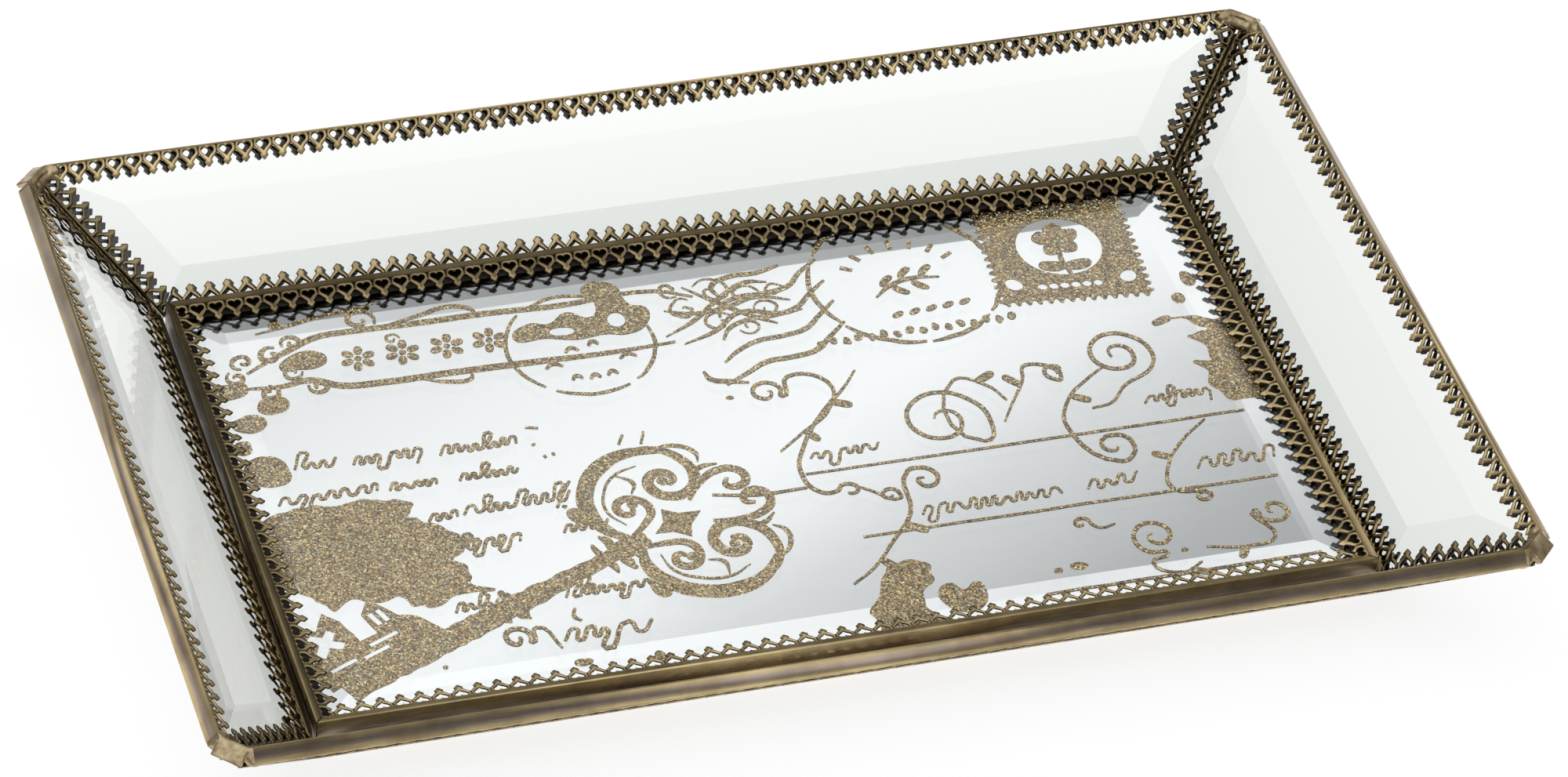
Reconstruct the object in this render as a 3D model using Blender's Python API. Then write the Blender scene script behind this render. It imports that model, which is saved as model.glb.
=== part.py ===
"""Bevelled-glass vanity tray: a framed mirror floor with four sloping glass walls in toothed brass channel.

Metres, +Z up. +X is the tray's long way, -Y its front. The origin is on the surface that the tray stands on,
under the middle of the floor. Each wall has a frame of its own: x along it, y up its slope and z into the tray,
from the middle of its foot, on its inner face.
"""

from math import atan2, copysign, cos, pi, radians, sin, sqrt

import bmesh
import bpy
from mathutils import Matrix, Vector

# Driving dimensions
FLOOR_LENGTH = 0.2920  # outside of the floor frame, along X
FLOOR_WIDTH = 0.1700  # outside of the floor frame, along Y
FRAME_HEIGHT = 0.0100  # floor frame, from its underside to the tips of its gallery
RIDGE_LIFT = 0.0020  # how far the floor frame's ridge stands above those tips
STAND_HEIGHT = 0.0015  # how far the pads hold the floor frame up
PAD_RADIUS = 0.0055
PAD_INSET = 0.0150  # from the floor frame's outside to a pad's centre
RIM_RISE = 0.0289  # from the tips of the floor's gallery to the rim's top edge
WALL_SLOPE = radians(46.0)
WALL_FOOT_DROP = 0.0040  # how far the walls' feet sit below the tips of the floor's gallery
WALL_FOOT_OFFSET = 0.00035  # how far the walls' feet stand outside the floor frame
CHANNEL_WIDTH = 0.0047  # outside width of the channel that holds a wall
GALLERY_DEPTH = 0.0065  # from the channel's spine to the tips of its teeth
VALLEY_DEPTH = 0.0040  # from the channel's spine to the valleys between teeth
PLAIN_DEPTH = 0.0052  # of a flange that is left straight here
FOOT_DEPTH = 0.0071  # of the flanges that hold a wall's foot
FLOOR_DEPTH = 0.0080  # from the floor frame's ridge to the tips of its gallery
FLOOR_VALLEY = 0.0055  # from the floor frame's ridge to the valleys
TOOTH_PITCH = 0.0052
SHEET = 0.0004  # brass thickness
BEVEL_WIDTH = 0.0127
BEVEL_DROP = 0.0012  # how much thinner the glass is at its edge
GAP = 0.0003  # between touching pieces
CORNER_CUT = 0.0070  # how far a rim channel stops short of the rim's corner
SEAM_CUT = 0.0052  # how far a seam channel stops short of the rim's corner
CAP_TILT = radians(53.0)  # of the solder caps that cut off the rim's corners
CAP_THICKNESS = 0.0016

# Thicknesses of the layers under the mirror glass. The backing board takes what they leave.
SILVERING = 0.0003
GLITTER = 0.0003
FELT = 0.0006

# Worked out from the above
UP = Vector((0, 0, 1))
TIP_Z = STAND_HEIGHT + FRAME_HEIGHT
WALL_HEIGHT = (RIM_RISE + WALL_FOOT_DROP) / sin(WALL_SLOPE)  # up the slope
RUN = cos(WALL_SLOPE)  # how much longer a wall gets at each end, for each unit up its slope
SEAM_STRETCH = sqrt(1 + RUN * RUN)  # a wall's slanting end against its height
SEAM_LENGTH = WALL_HEIGHT * SEAM_STRETCH
FOOT_MITRE = SEAM_STRETCH - RUN  # along the channel for each unit of its depth, at a foot corner
RIM_MITRE = SEAM_STRETCH + RUN  # the same at a rim corner
GLASS_INSET = SHEET + GAP
GLASS_THICKNESS = CHANNEL_WIDTH - 2 * GLASS_INSET
CAP_LEVEL = CORNER_CUT * cos(CAP_TILT) / sqrt(2)  # from a rim corner down to its cap's face
FELT_BOTTOM = STAND_HEIGHT + GLASS_INSET
TOOTHED = (GALLERY_DEPTH, VALLEY_DEPTH)  # a flange's tips and valleys
PLAIN = (PLAIN_DEPTH, PLAIN_DEPTH)
FOOT_PLAIN = (FOOT_DEPTH, FOOT_DEPTH)
FLOOR_TOOTHED = (FLOOR_DEPTH, FLOOR_VALLEY)
FLOOR_PLAIN = (GALLERY_DEPTH, GALLERY_DEPTH)

# side: (turn about Z from the back, half the floor across, half the floor along)
SIDES = {
    "back": (0, FLOOR_WIDTH / 2, FLOOR_LENGTH / 2),
    "left": (pi / 2, FLOOR_LENGTH / 2, FLOOR_WIDTH / 2),
    "front": (pi, FLOOR_WIDTH / 2, FLOOR_LENGTH / 2),
    "right": (-pi / 2, FLOOR_LENGTH / 2, FLOOR_WIDTH / 2),
}
# corner: (the side whose +x end is there, the side whose -x end is there)
CORNERS = {
    "back_right": ("back", "right"),
    "front_right": ("right", "front"),
    "front_left": ("front", "left"),
    "back_left": ("left", "back"),
}


def material(name, colour, roughness, metallic=0.0, transmission=0.0):
    """A Principled material with the piece's colour, roughness and metallic value."""
    made = bpy.data.materials.new(name)
    made.use_nodes = True
    shader = made.node_tree.nodes["Principled BSDF"]
    shader.inputs["Base Color"].default_value = (*colour, 1)
    shader.inputs["Roughness"].default_value = roughness
    shader.inputs["Metallic"].default_value = metallic
    shader.inputs["Transmission Weight"].default_value = transmission
    made.diffuse_color = (*colour, 1)
    return made


def add_object(name, bm, finish, parent=None, place=None):
    """Turns a closed bmesh into an object whose faces point out, placed within its parent."""
    bmesh.ops.recalc_face_normals(bm, faces=bm.faces)
    if bm.calc_volume(signed=True) < 0:
        bmesh.ops.reverse_faces(bm, faces=bm.faces)
    mesh = bpy.data.meshes.new(name)
    bm.to_mesh(mesh)
    bm.free()
    mesh.materials.append(finish)
    made = bpy.data.objects.new(name, mesh)
    made.parent = parent
    made.matrix_local = place or Matrix()
    bpy.context.scene.collection.objects.link(made)
    return made


def add_empty(name, place):
    """An empty that carries the pieces of one side."""
    made = bpy.data.objects.new(name, None)
    made.empty_display_size = 0.02
    made.matrix_world = place
    bpy.context.scene.collection.objects.link(made)
    return made


def loft(loops):
    """A closed bmesh through loops of points that all have the same number of points."""
    bm = bmesh.new()
    rings = [[bm.verts.new(point) for point in loop] for loop in loops]
    for ring, following in zip(rings, rings[1:]):
        for i in range(len(ring)):
            j = (i + 1) % len(ring)
            bm.faces.new((ring[i], ring[j], following[j], following[i]))
    bm.faces.new(rings[0])
    bm.faces.new(rings[-1])
    return bm


def tooth_places(low, high):
    """The places of as many teeth as fit between low and high, evenly about the middle."""
    count = int((high - low) / TOOTH_PITCH)
    first = (low + high) / 2 - (count - 1) * TOOTH_PITCH / 2
    return [first + i * TOOTH_PITCH for i in range(count)]


def channel(length, mitres, cuts, width, lips):
    """A straight channel of U section along x. Its spine is at y = 0, and its flanges run to +y.

    mitres gives for each end how far it is cut back for each unit of depth, and cuts the least cut, which the
    spine gets. lips gives each flange's depth at its tips and valleys: first the one at z = 0, then the one at
    z = -width.
    """
    (near_tip, near_valley), (far_tip, far_valley) = lips

    def section(x, near, far, end=None):
        ring = []
        for y, z in (
            (0, 0), (near, 0), (near, -SHEET), (SHEET, -SHEET),
            (SHEET, SHEET - width), (far, SHEET - width), (far, -width), (0, -width),
        ):
            back = 0 if end is None else max(cuts[end], mitres[end] * y + GAP)
            ring.append((x + copysign(back, -x), y, z))
        return ring

    ends = (-length / 2, length / 2)
    loops = [section(ends[0], near_valley, far_valley, end=0)]
    if near_tip > near_valley:
        low = ends[0] + mitres[0] * near_tip + GAP
        high = ends[1] - mitres[1] * near_tip - GAP
        tips = tooth_places(low, high)
        loops.append(section(tips[0] - TOOTH_PITCH / 2, near_valley, far_valley))
        for tip in tips:
            loops.append(section(tip, near_tip, far_tip))
            loops.append(section(tip + TOOTH_PITCH / 2, near_valley, far_valley))
    loops.append(section(ends[1], near_valley, far_valley, end=1))
    return loft(loops)


def wall_place(side):
    """Where a wall's frame lies in the tray."""
    turn, across, _ = SIDES[side]
    return (
        Matrix.Rotation(turn, 4, "Z")
        @ Matrix.Translation((0, across + WALL_FOOT_OFFSET, TIP_Z - WALL_FOOT_DROP))
        @ Matrix.Rotation(WALL_SLOPE, 4, "X")
    )


def wall_end(side, height):
    """Half the length of a wall's framed outline at a height up its slope."""
    return SIDES[side][2] + WALL_FOOT_OFFSET + height * RUN


def seam_place(side, end, across=0.0):
    """Where the slanting end of a wall lies in its frame, at end = 1 or -1: y runs into the wall."""
    into_wall = Vector((-end, RUN, 0)) / SEAM_STRETCH
    middle = Vector((end * wall_end(side, WALL_HEIGHT / 2), WALL_HEIGHT / 2, 0))
    place = Matrix.Translation(middle + into_wall * across)
    return place @ Matrix.Rotation(atan2(end, RUN), 4, "Z")


def bevelled_slab(bm, face, thickness):
    """Raises a flat face to a slab along z, with a wide shallow bevel round its upper side."""
    raised = bmesh.ops.extrude_face_region(bm, geom=[face], use_keep_orig=True)
    top = next(item for item in raised["geom"] if isinstance(item, bmesh.types.BMFace))
    bmesh.ops.translate(bm, verts=list(top.verts), vec=UP * (thickness - BEVEL_DROP))
    bmesh.ops.inset_region(bm, faces=[top], thickness=BEVEL_WIDTH, use_even_offset=True)
    bmesh.ops.translate(bm, verts=list(top.verts), vec=UP * BEVEL_DROP)


def wall_glass(side, finish, wall):
    """A trapezoid of glass, bevelled all round on its inner face, with its two upper corners clipped."""
    low, high = GLASS_INSET, WALL_HEIGHT - GLASS_INSET
    end_inset = (GLASS_INSET + GAP / 2) * SEAM_STRETCH
    low_end, high_end = wall_end(side, low) - end_inset, wall_end(side, high) - end_inset
    bm = bmesh.new()
    outline = ((-low_end, low), (low_end, low), (high_end, high), (-high_end, high))
    face = bm.faces.new([bm.verts.new((x, y, GLASS_INSET - CHANNEL_WIDTH)) for x, y in outline])
    bevelled_slab(bm, face, GLASS_THICKNESS)
    into_wall = wall_place(side).inverted()
    for end in (-1, 1):
        corner = Vector((end * wall_end(side, WALL_HEIGHT), WALL_HEIGHT, 0))
        facing = into_wall.to_3x3() @ cap_facing(wall_place(side) @ corner)
        cut = bmesh.ops.bisect_plane(
            bm, geom=bm.verts[:] + bm.edges[:] + bm.faces[:], dist=1e-7, clear_outer=True,
            plane_co=corner - facing * (CAP_LEVEL + CAP_THICKNESS + GAP), plane_no=facing,
        )
        cut_edges = [item for item in cut["geom_cut"] if isinstance(item, bmesh.types.BMEdge)]
        bmesh.ops.contextual_create(bm, geom=cut_edges)
    return add_object(f"wall_glass_{side}", bm, finish, wall)


def rim_channel(side, finish, wall):
    """The channel along a wall's top edge. Its ends stop short of the corner, for the solder cap."""
    bm = channel(
        2 * wall_end(side, WALL_HEIGHT), (RIM_MITRE, RIM_MITRE), (CORNER_CUT, CORNER_CUT),
        CHANNEL_WIDTH, (TOOTHED, PLAIN),
    )
    place = Matrix.Translation((0, WALL_HEIGHT, 0)) @ Matrix.Rotation(pi, 4, "Z")
    return add_object(f"rim_channel_{side}", bm, finish, wall, place)


def foot_channel(side, finish, wall):
    """The channel along a wall's bottom edge, mitred into the two seam channels."""
    bm = channel(2 * wall_end(side, 0), (FOOT_MITRE, FOOT_MITRE), (0, 0), CHANNEL_WIDTH, (FOOT_PLAIN, FOOT_PLAIN))
    return add_object(f"foot_channel_{side}", bm, finish, wall)


def seam_channel(side, end, corner, finish, wall):
    """The channel along one slanting end of a wall, mitred at its foot and cut short below the rim's corner."""
    mitres, cuts = (FOOT_MITRE, RIM_MITRE), (0, SEAM_CUT)
    bm = channel(SEAM_LENGTH, mitres[::end], cuts[::end], CHANNEL_WIDTH, (TOOTHED, PLAIN))
    name = f"seam_channel_{side}_at_{corner}"
    return add_object(name, bm, finish, wall, seam_place(side, end, GAP / 2))


def floor_channel(side, finish):
    """One side of the floor's frame: toothed over the mirror, plain under the backing board.

    The toothed flange slopes down from the ridge, so that only its tips are near the mirror.
    """
    turn, across, half = SIDES[side]
    bm = channel(2 * half, (1, 1), (0, 0), FRAME_HEIGHT + RIDGE_LIFT, (FLOOR_TOOTHED, FLOOR_PLAIN))
    for vert in bm.verts:
        if vert.co.z > -2 * SHEET:
            vert.co.z -= RIDGE_LIFT * vert.co.y / FLOOR_DEPTH
    at_ridge = Matrix.Translation((0, across, TIP_Z + RIDGE_LIFT))
    place = Matrix.Rotation(turn, 4, "Z") @ at_ridge @ Matrix.Rotation(pi, 4, "Z")
    return add_object(f"floor_channel_{side}", bm, finish, place=place)


def floor_sheet(name, top, thickness, finish, bevelled=False):
    """A rectangular layer of the floor, inside the floor frame, from top downwards."""
    bm = bmesh.new()
    size = (FLOOR_LENGTH - 2 * GLASS_INSET, FLOOR_WIDTH - 2 * GLASS_INSET)
    if bevelled:
        bmesh.ops.create_grid(bm, x_segments=1, y_segments=1, size=0.5)
        bmesh.ops.scale(bm, verts=bm.verts, vec=(*size, 1))
        bevelled_slab(bm, bm.faces[:][0], thickness)
    else:
        bmesh.ops.create_cube(bm, size=1, matrix=Matrix.Translation((0, 0, 0.5)))
        bmesh.ops.scale(bm, verts=bm.verts, vec=(*size, thickness))
    return add_object(name, bm, finish, place=Matrix.Translation((0, 0, top - thickness)))


def pad(name, x, y, finish):
    """A round pad stuck to the felt near a corner."""
    height = FELT_BOTTOM - GAP
    bm = bmesh.new()
    bmesh.ops.create_cone(
        bm, cap_ends=True, segments=32, radius1=PAD_RADIUS, radius2=PAD_RADIUS, depth=height
    )
    made = add_object(name, bm, finish, place=Matrix.Translation((x, y, height / 2)))
    made.data.shade_smooth()
    made.data.set_sharp_from_angle(angle=radians(40))
    return made


def cap_facing(corner):
    """The outward direction of the solder cap that cuts off a rim corner."""
    plan = Vector((copysign(1, corner.x), copysign(1, corner.y), 0)).normalized()
    return plan * cos(CAP_TILT) + UP * sin(CAP_TILT)


def rim_corner_solder(corner, finish):
    """The solder cap that joins two rim channels across a corner, between their cut ends."""
    reach = CORNER_CUT - CAP_THICKNESS * RUN / SEAM_STRETCH - GAP
    loops = []
    for side, end in zip(CORNERS[corner], (1, -1)):
        place = wall_place(side)
        inner = Vector((end * (wall_end(side, WALL_HEIGHT) - reach), WALL_HEIGHT, 0))
        outer = inner + Vector((end * 0.6, 0, -1)) * CHANNEL_WIDTH
        sinking = Vector((-end * RUN, -1, 0)) * (CAP_THICKNESS / SEAM_STRETCH)
        loops.append([place @ point for point in (inner, outer, outer + sinking, inner + sinking)])
    return add_object(f"rim_corner_solder_{corner}", loft(loops), finish)


def seam_solder(corner, finish):
    """The run of solder that fills the groove behind two seam channels."""
    shallow, deep = 0.0012, CHANNEL_WIDTH - 0.0004
    loops = []
    for along in (0.0060 - SEAM_LENGTH / 2, SEAM_LENGTH / 2 - 0.0080):
        (x_1, y_1), (x_2, y_2) = [(end * along, -GAP / 2) for end in (1, -1)]
        first, second = [wall_place(s) @ seam_place(s, e) for s, e in zip(CORNERS[corner], (1, -1))]
        loops.append([
            first @ Vector((x_1, y_1, -shallow)), first @ Vector((x_1, y_1, -deep)),
            second @ Vector((x_2, y_2, -deep)), second @ Vector((x_2, y_2, -shallow)),
        ])
    return add_object(f"seam_solder_{corner}", loft(loops), finish)


def foot_solder(side, finish):
    """The run of solder in the groove between the floor frame and a foot channel."""
    turn, across, half = SIDES[side]
    section = ((GAP, -0.0046), (GAP, -0.0082), (0.0032, -0.0073))
    bm = loft([[(x, y, z) for y, z in section] for x in (0.0030 - half, half - 0.0030)])
    place = Matrix.Rotation(turn, 4, "Z") @ Matrix.Translation((0, across, TIP_Z))
    return add_object(f"foot_solder_{side}", bm, finish, place=place)


def main():
    for old in list(bpy.data.objects):
        bpy.data.objects.remove(old, do_unlink=True)
    brass = material("antique_brass", (0.42, 0.32, 0.17), 0.35, metallic=1.0)
    solder = material("brassed_solder", (0.45, 0.36, 0.22), 0.3, metallic=1.0)
    clear = material("clear_glass", (0.95, 0.98, 0.96), 0.0, transmission=1.0)
    silver = material("mirror_silver", (0.85, 0.86, 0.87), 0.02, metallic=1.0)
    glitter = material("gold_glitter", (0.45, 0.36, 0.2), 0.4, metallic=0.8)
    board = material("backing_board", (0.12, 0.1, 0.08), 0.9)
    felt = material("black_felt", (0.02, 0.02, 0.02), 1.0)
    rubber = material("pad_rubber", (0.05, 0.05, 0.05), 0.7)

    walls = {side: add_empty(f"wall_{side}", wall_place(side)) for side in SIDES}
    for side, wall in walls.items():
        wall_glass(side, clear, wall)
        rim_channel(side, brass, wall)
        foot_channel(side, brass, wall)
        floor_channel(side, brass)
        foot_solder(side, solder)
    for corner, sides in CORNERS.items():
        for side, end in zip(sides, (1, -1)):
            seam_channel(side, end, corner, brass, walls[side])
        rim_corner_solder(corner, solder)
        seam_solder(corner, solder)

    top = TIP_Z - GLASS_INSET
    floor_sheet("mirror_glass", top, GLASS_THICKNESS, clear, bevelled=True)
    top -= GLASS_THICKNESS + GAP
    floor_sheet("mirror_silvering", top, SILVERING, silver)
    top -= SILVERING + GAP
    floor_sheet("glitter_sheet", top, GLITTER, glitter)
    top -= GLITTER + GAP
    floor_sheet("backing_board", top, top - FELT_BOTTOM - FELT - GAP, board)
    floor_sheet("felt_underside", FELT_BOTTOM + FELT, FELT, felt)
    for y, row in ((-1, "front"), (1, "back")):
        for x, column in ((-1, "left"), (1, "right")):
            centre = (x * (FLOOR_LENGTH / 2 - PAD_INSET), y * (FLOOR_WIDTH / 2 - PAD_INSET))
            pad(f"pad_{row}_{column}", *centre, rubber)


main()
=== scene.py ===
"""Looks of a bevelled-glass vanity tray: pierced brass gallery, clear walls and a glitter picture in the mirror.

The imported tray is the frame. Its glass, silvering, board, felt and pads keep their own shape and get a finish.
The channels and the solder are built again in full detail in the same places, and the picture lies just above
the silvering. Lengths in the classes are in millimetres, and each finished mesh is in metres in the tray's frame.
"""

from __future__ import annotations

import logging
import random
from dataclasses import dataclass, field
from enum import Enum
from math import atan2, copysign, cos, pi, radians, sin, sqrt

import bmesh
import bpy
from mathutils import Matrix, Vector


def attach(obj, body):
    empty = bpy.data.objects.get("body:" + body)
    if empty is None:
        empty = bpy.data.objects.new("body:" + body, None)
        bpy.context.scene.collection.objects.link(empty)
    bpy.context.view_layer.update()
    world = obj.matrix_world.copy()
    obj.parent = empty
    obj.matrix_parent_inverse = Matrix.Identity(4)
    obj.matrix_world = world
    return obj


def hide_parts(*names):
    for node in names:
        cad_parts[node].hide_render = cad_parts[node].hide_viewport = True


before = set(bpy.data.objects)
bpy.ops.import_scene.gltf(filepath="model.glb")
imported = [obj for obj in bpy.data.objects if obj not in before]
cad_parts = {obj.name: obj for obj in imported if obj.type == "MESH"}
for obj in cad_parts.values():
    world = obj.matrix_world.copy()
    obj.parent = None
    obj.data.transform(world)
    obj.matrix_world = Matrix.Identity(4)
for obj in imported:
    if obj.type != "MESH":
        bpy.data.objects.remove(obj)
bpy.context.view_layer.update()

log = logging.getLogger("vanity_tray")
MM = 0.001
UP = Vector((0, 0, 1))
Point = tuple[float, float]
BODY = "root"


class Run(Enum):
    """The tray axis that a length of channel runs along, for the direction of its polishing marks."""

    LONG = "along X"
    SHORT = "along Y"
    CORNER = "up a corner"


class Lip(Enum):
    """Which face of the glass a gallery lip lies on."""

    INNER = 1
    OUTER = -1


# ---------------------------------------------------------------------------------------------------- finishes


class Palette:
    """A material's node tree, with short calls for the nodes that the finishes share."""

    def __init__(self, name: str) -> None:
        """Starts a material with one Principled shader.

        Args:
            name: the material's name.
        """
        self.material = bpy.data.materials.new(name)
        self.material.use_nodes = True
        self.nodes = self.material.node_tree.nodes
        self.links = self.material.node_tree.links
        self.shader = self.nodes["Principled BSDF"]
        self.place = self.nodes.new("ShaderNodeTexCoord").outputs["Object"]

    def node(self, kind: str, inputs: dict[str | int, object] | None = None, **settings: object) -> bpy.types.Node:
        """Adds a node.

        Args:
            kind: the node's type name.
            inputs: each input's value, or the socket that feeds it.
            settings: the node's own properties.

        Returns:
            The new node.
        """
        made = self.nodes.new(kind)
        for key, value in settings.items():
            setattr(made, key, value)
        for key, value in (inputs or {}).items():
            self.feed(made.inputs[key], value)
        return made

    def feed(self, socket: bpy.types.NodeSocket, value: object) -> None:
        """Links a socket to an input, or sets the input's value.

        Args:
            socket: the input socket.
            value: an output socket, a number or a colour.
        """
        if isinstance(value, bpy.types.NodeSocket):
            self.links.new(value, socket)
        else:
            socket.default_value = value

    def stretched(self, scale: tuple[float, float, float]) -> bpy.types.NodeSocket:
        """Object coordinates scaled apart along the axes, for marks that run one way.

        Args:
            scale: the scale along each axis.

        Returns:
            The vector socket.
        """
        return self.node("ShaderNodeMapping", {"Vector": self.place, "Scale": scale}).outputs["Vector"]

    def noise(
        self, scale: float, detail: float = 3.0, vector: bpy.types.NodeSocket | None = None
    ) -> bpy.types.NodeSocket:
        """Soft noise.

        Args:
            scale: repeats per metre.
            detail: how many finer layers it has.
            vector: coordinates other than the object's.

        Returns:
            The factor socket.
        """
        inputs = {"Vector": vector or self.place, "Scale": scale, "Detail": detail, "Roughness": 0.6}
        return self.node("ShaderNodeTexNoise", inputs).outputs["Fac"]

    def ramp(self, factor: bpy.types.NodeSocket, stops: list[tuple[float, float]]) -> bpy.types.NodeSocket:
        """Maps a factor through grey stops.

        Args:
            factor: the socket to map.
            stops: pairs of position and value.

        Returns:
            The mapped socket.
        """
        return self.tint(factor, [(at, (value, value, value)) for at, value in stops])

    def tint(
        self, factor: bpy.types.NodeSocket, stops: list[tuple[float, tuple[float, float, float]]]
    ) -> bpy.types.NodeSocket:
        """Maps a factor through colour stops.

        Args:
            factor: the socket to map.
            stops: pairs of position and colour.

        Returns:
            The colour socket.
        """
        made = self.node("ShaderNodeValToRGB", {"Fac": factor})
        ramp = made.color_ramp
        while len(ramp.elements) < len(stops):
            ramp.elements.new(1.0)
        for element, (at, colour) in zip(ramp.elements, stops):
            element.position = at
            element.color = (*colour, 1)
        return made.outputs["Color"]

    def mix(self, factor: object, first: object, second: object, blend: str = "MIX") -> bpy.types.NodeSocket:
        """Mixes two colours.

        Args:
            factor: how much of the second one.
            first: a socket or a colour.
            second: a socket or a colour.
            blend: the way of mixing.

        Returns:
            The colour socket.
        """
        made = self.node("ShaderNodeMix", data_type="RGBA", blend_type=blend)
        self.feed(made.inputs[0], factor)
        for socket, value in ((made.inputs[6], first), (made.inputs[7], second)):
            self.feed(socket, value if isinstance(value, bpy.types.NodeSocket) else (*value, 1))
        return made.outputs[2]

    def attribute(self, name: str) -> bpy.types.NodeSocket:
        """A number stored on the piece's mesh."""
        return self.node("ShaderNodeAttribute", attribute_name=name, attribute_type="GEOMETRY").outputs["Fac"]

    def bump(self, height: bpy.types.NodeSocket, depth: float, strength: float = 1.0) -> None:
        """Presses a height pattern into the surface.

        Args:
            height: the pattern.
            depth: the pattern's depth in metres.
            strength: how much of it shows.
        """
        made = self.node("ShaderNodeBump", {"Height": height, "Distance": depth, "Strength": strength})
        self.links.new(made.outputs["Normal"], self.shader.inputs["Normal"])


@dataclass(frozen=True)
class GalleryBrass:
    """Stamped brass gone brown in its hollows and rubbed bright on its high edges."""

    name: str = "rim_brass"
    # How much darker this copy is made all over; where it is above 0 it is painted shade.
    darkening: float = 0.0
    hollow: tuple[float, float, float] = (0.022, 0.015, 0.009)
    side: tuple[float, float, float] = (0.100, 0.066, 0.030)
    bright: tuple[float, float, float] = (0.800, 0.620, 0.330)

    def build(self) -> bpy.types.Material:
        """Makes the material."""
        p = Palette(self.name)
        relief = p.attribute("relief")
        worn = p.noise(900.0, 4.0)
        level = p.mix(0.35, relief, worn, "OVERLAY")
        colour = p.tint(level, [(0.22, self.hollow), (0.60, self.side), (0.97, self.bright)])
        kept_tone = 1.0 - self.darkening
        # Patchy tone, with the whole copy made darker by its set darkening.
        patch = p.ramp(p.noise(110.0, 3.0), [(0.38, 0.62 * kept_tone), (0.60, kept_tone)])
        colour = p.mix(1.0, colour, patch, "MULTIPLY")
        p.feed(p.shader.inputs["Base Color"], colour)
        p.feed(p.shader.inputs["Roughness"], p.ramp(level, [(0.2, 0.55), (0.9, 0.27)]))
        p.shader.inputs["Metallic"].default_value = 1.0
        p.bump(p.noise(2500.0, 2.0), 0.00003, 0.5)
        return p.material


@dataclass(frozen=True)
class BandBrass:
    """The smooth spine of a channel: mauve tarnish along its middle and yellow brass at its folds.

    A darkening below 0 makes the whole copy brighter than the rest.
    """

    run: Run
    name: str = "rim_band"
    # How much darker this copy is made all over, or brighter below 0.
    darkening: float = 0.0
    fold: tuple[float, float, float] = (0.700, 0.550, 0.290)
    middle: tuple[float, float, float] = (0.470, 0.380, 0.310)
    brown: tuple[float, float, float] = (0.330, 0.230, 0.120)

    def build(self) -> bpy.types.Material:
        """Makes the material."""
        p = Palette(f"{self.name}_{self.run.name.lower()}")
        kept_tone = 1.0 - self.darkening
        scales = {Run.LONG: (1.0, 14.0, 14.0), Run.SHORT: (14.0, 1.0, 14.0), Run.CORNER: (5.0, 5.0, 5.0)}
        along = p.stretched(scales[self.run])
        streak = p.noise(90.0, 5.0, along)
        across = p.mix(0.30, p.attribute("relief"), streak, "OVERLAY")
        colour = p.tint(across, [(0.1, self.fold), (0.75, self.middle)])
        colour = p.mix(p.ramp(p.noise(45.0, 4.0), [(0.45, 0.0), (0.72, 0.75)]), colour, self.brown)
        # Patchy tone, with the whole copy made darker or brighter by its set darkening.
        colour = p.mix(1.0, colour, p.ramp(p.noise(70.0, 3.0), [(0.35, 0.8 * kept_tone), (0.6, kept_tone)]), "MULTIPLY")
        p.feed(p.shader.inputs["Base Color"], colour)
        p.feed(p.shader.inputs["Roughness"], p.ramp(streak, [(0.3, 0.24), (0.7, 0.42)]))
        p.shader.inputs["Metallic"].default_value = 1.0
        p.bump(p.noise(160.0, 4.0, along), 0.00003, 0.6)
        return p.material


@dataclass(frozen=True)
class SolderBrass:
    """Flowed solder under the brass plating, smooth on its lumps and brown where they meet."""

    name: str = "solder_brass"
    bright: tuple[float, float, float] = (0.560, 0.450, 0.275)
    dull: tuple[float, float, float] = (0.240, 0.170, 0.090)

    def build(self) -> bpy.types.Material:
        """Makes the material."""
        p = Palette(self.name)
        cloud = p.noise(260.0, 4.0)
        p.feed(p.shader.inputs["Base Color"], p.tint(cloud, [(0.35, self.dull), (0.62, self.bright)]))
        p.feed(p.shader.inputs["Roughness"], p.ramp(cloud, [(0.35, 0.42), (0.65, 0.22)]))
        p.shader.inputs["Metallic"].default_value = 1.0
        p.bump(p.noise(500.0, 3.0), 0.0001, 0.5)
        return p.material


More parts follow.
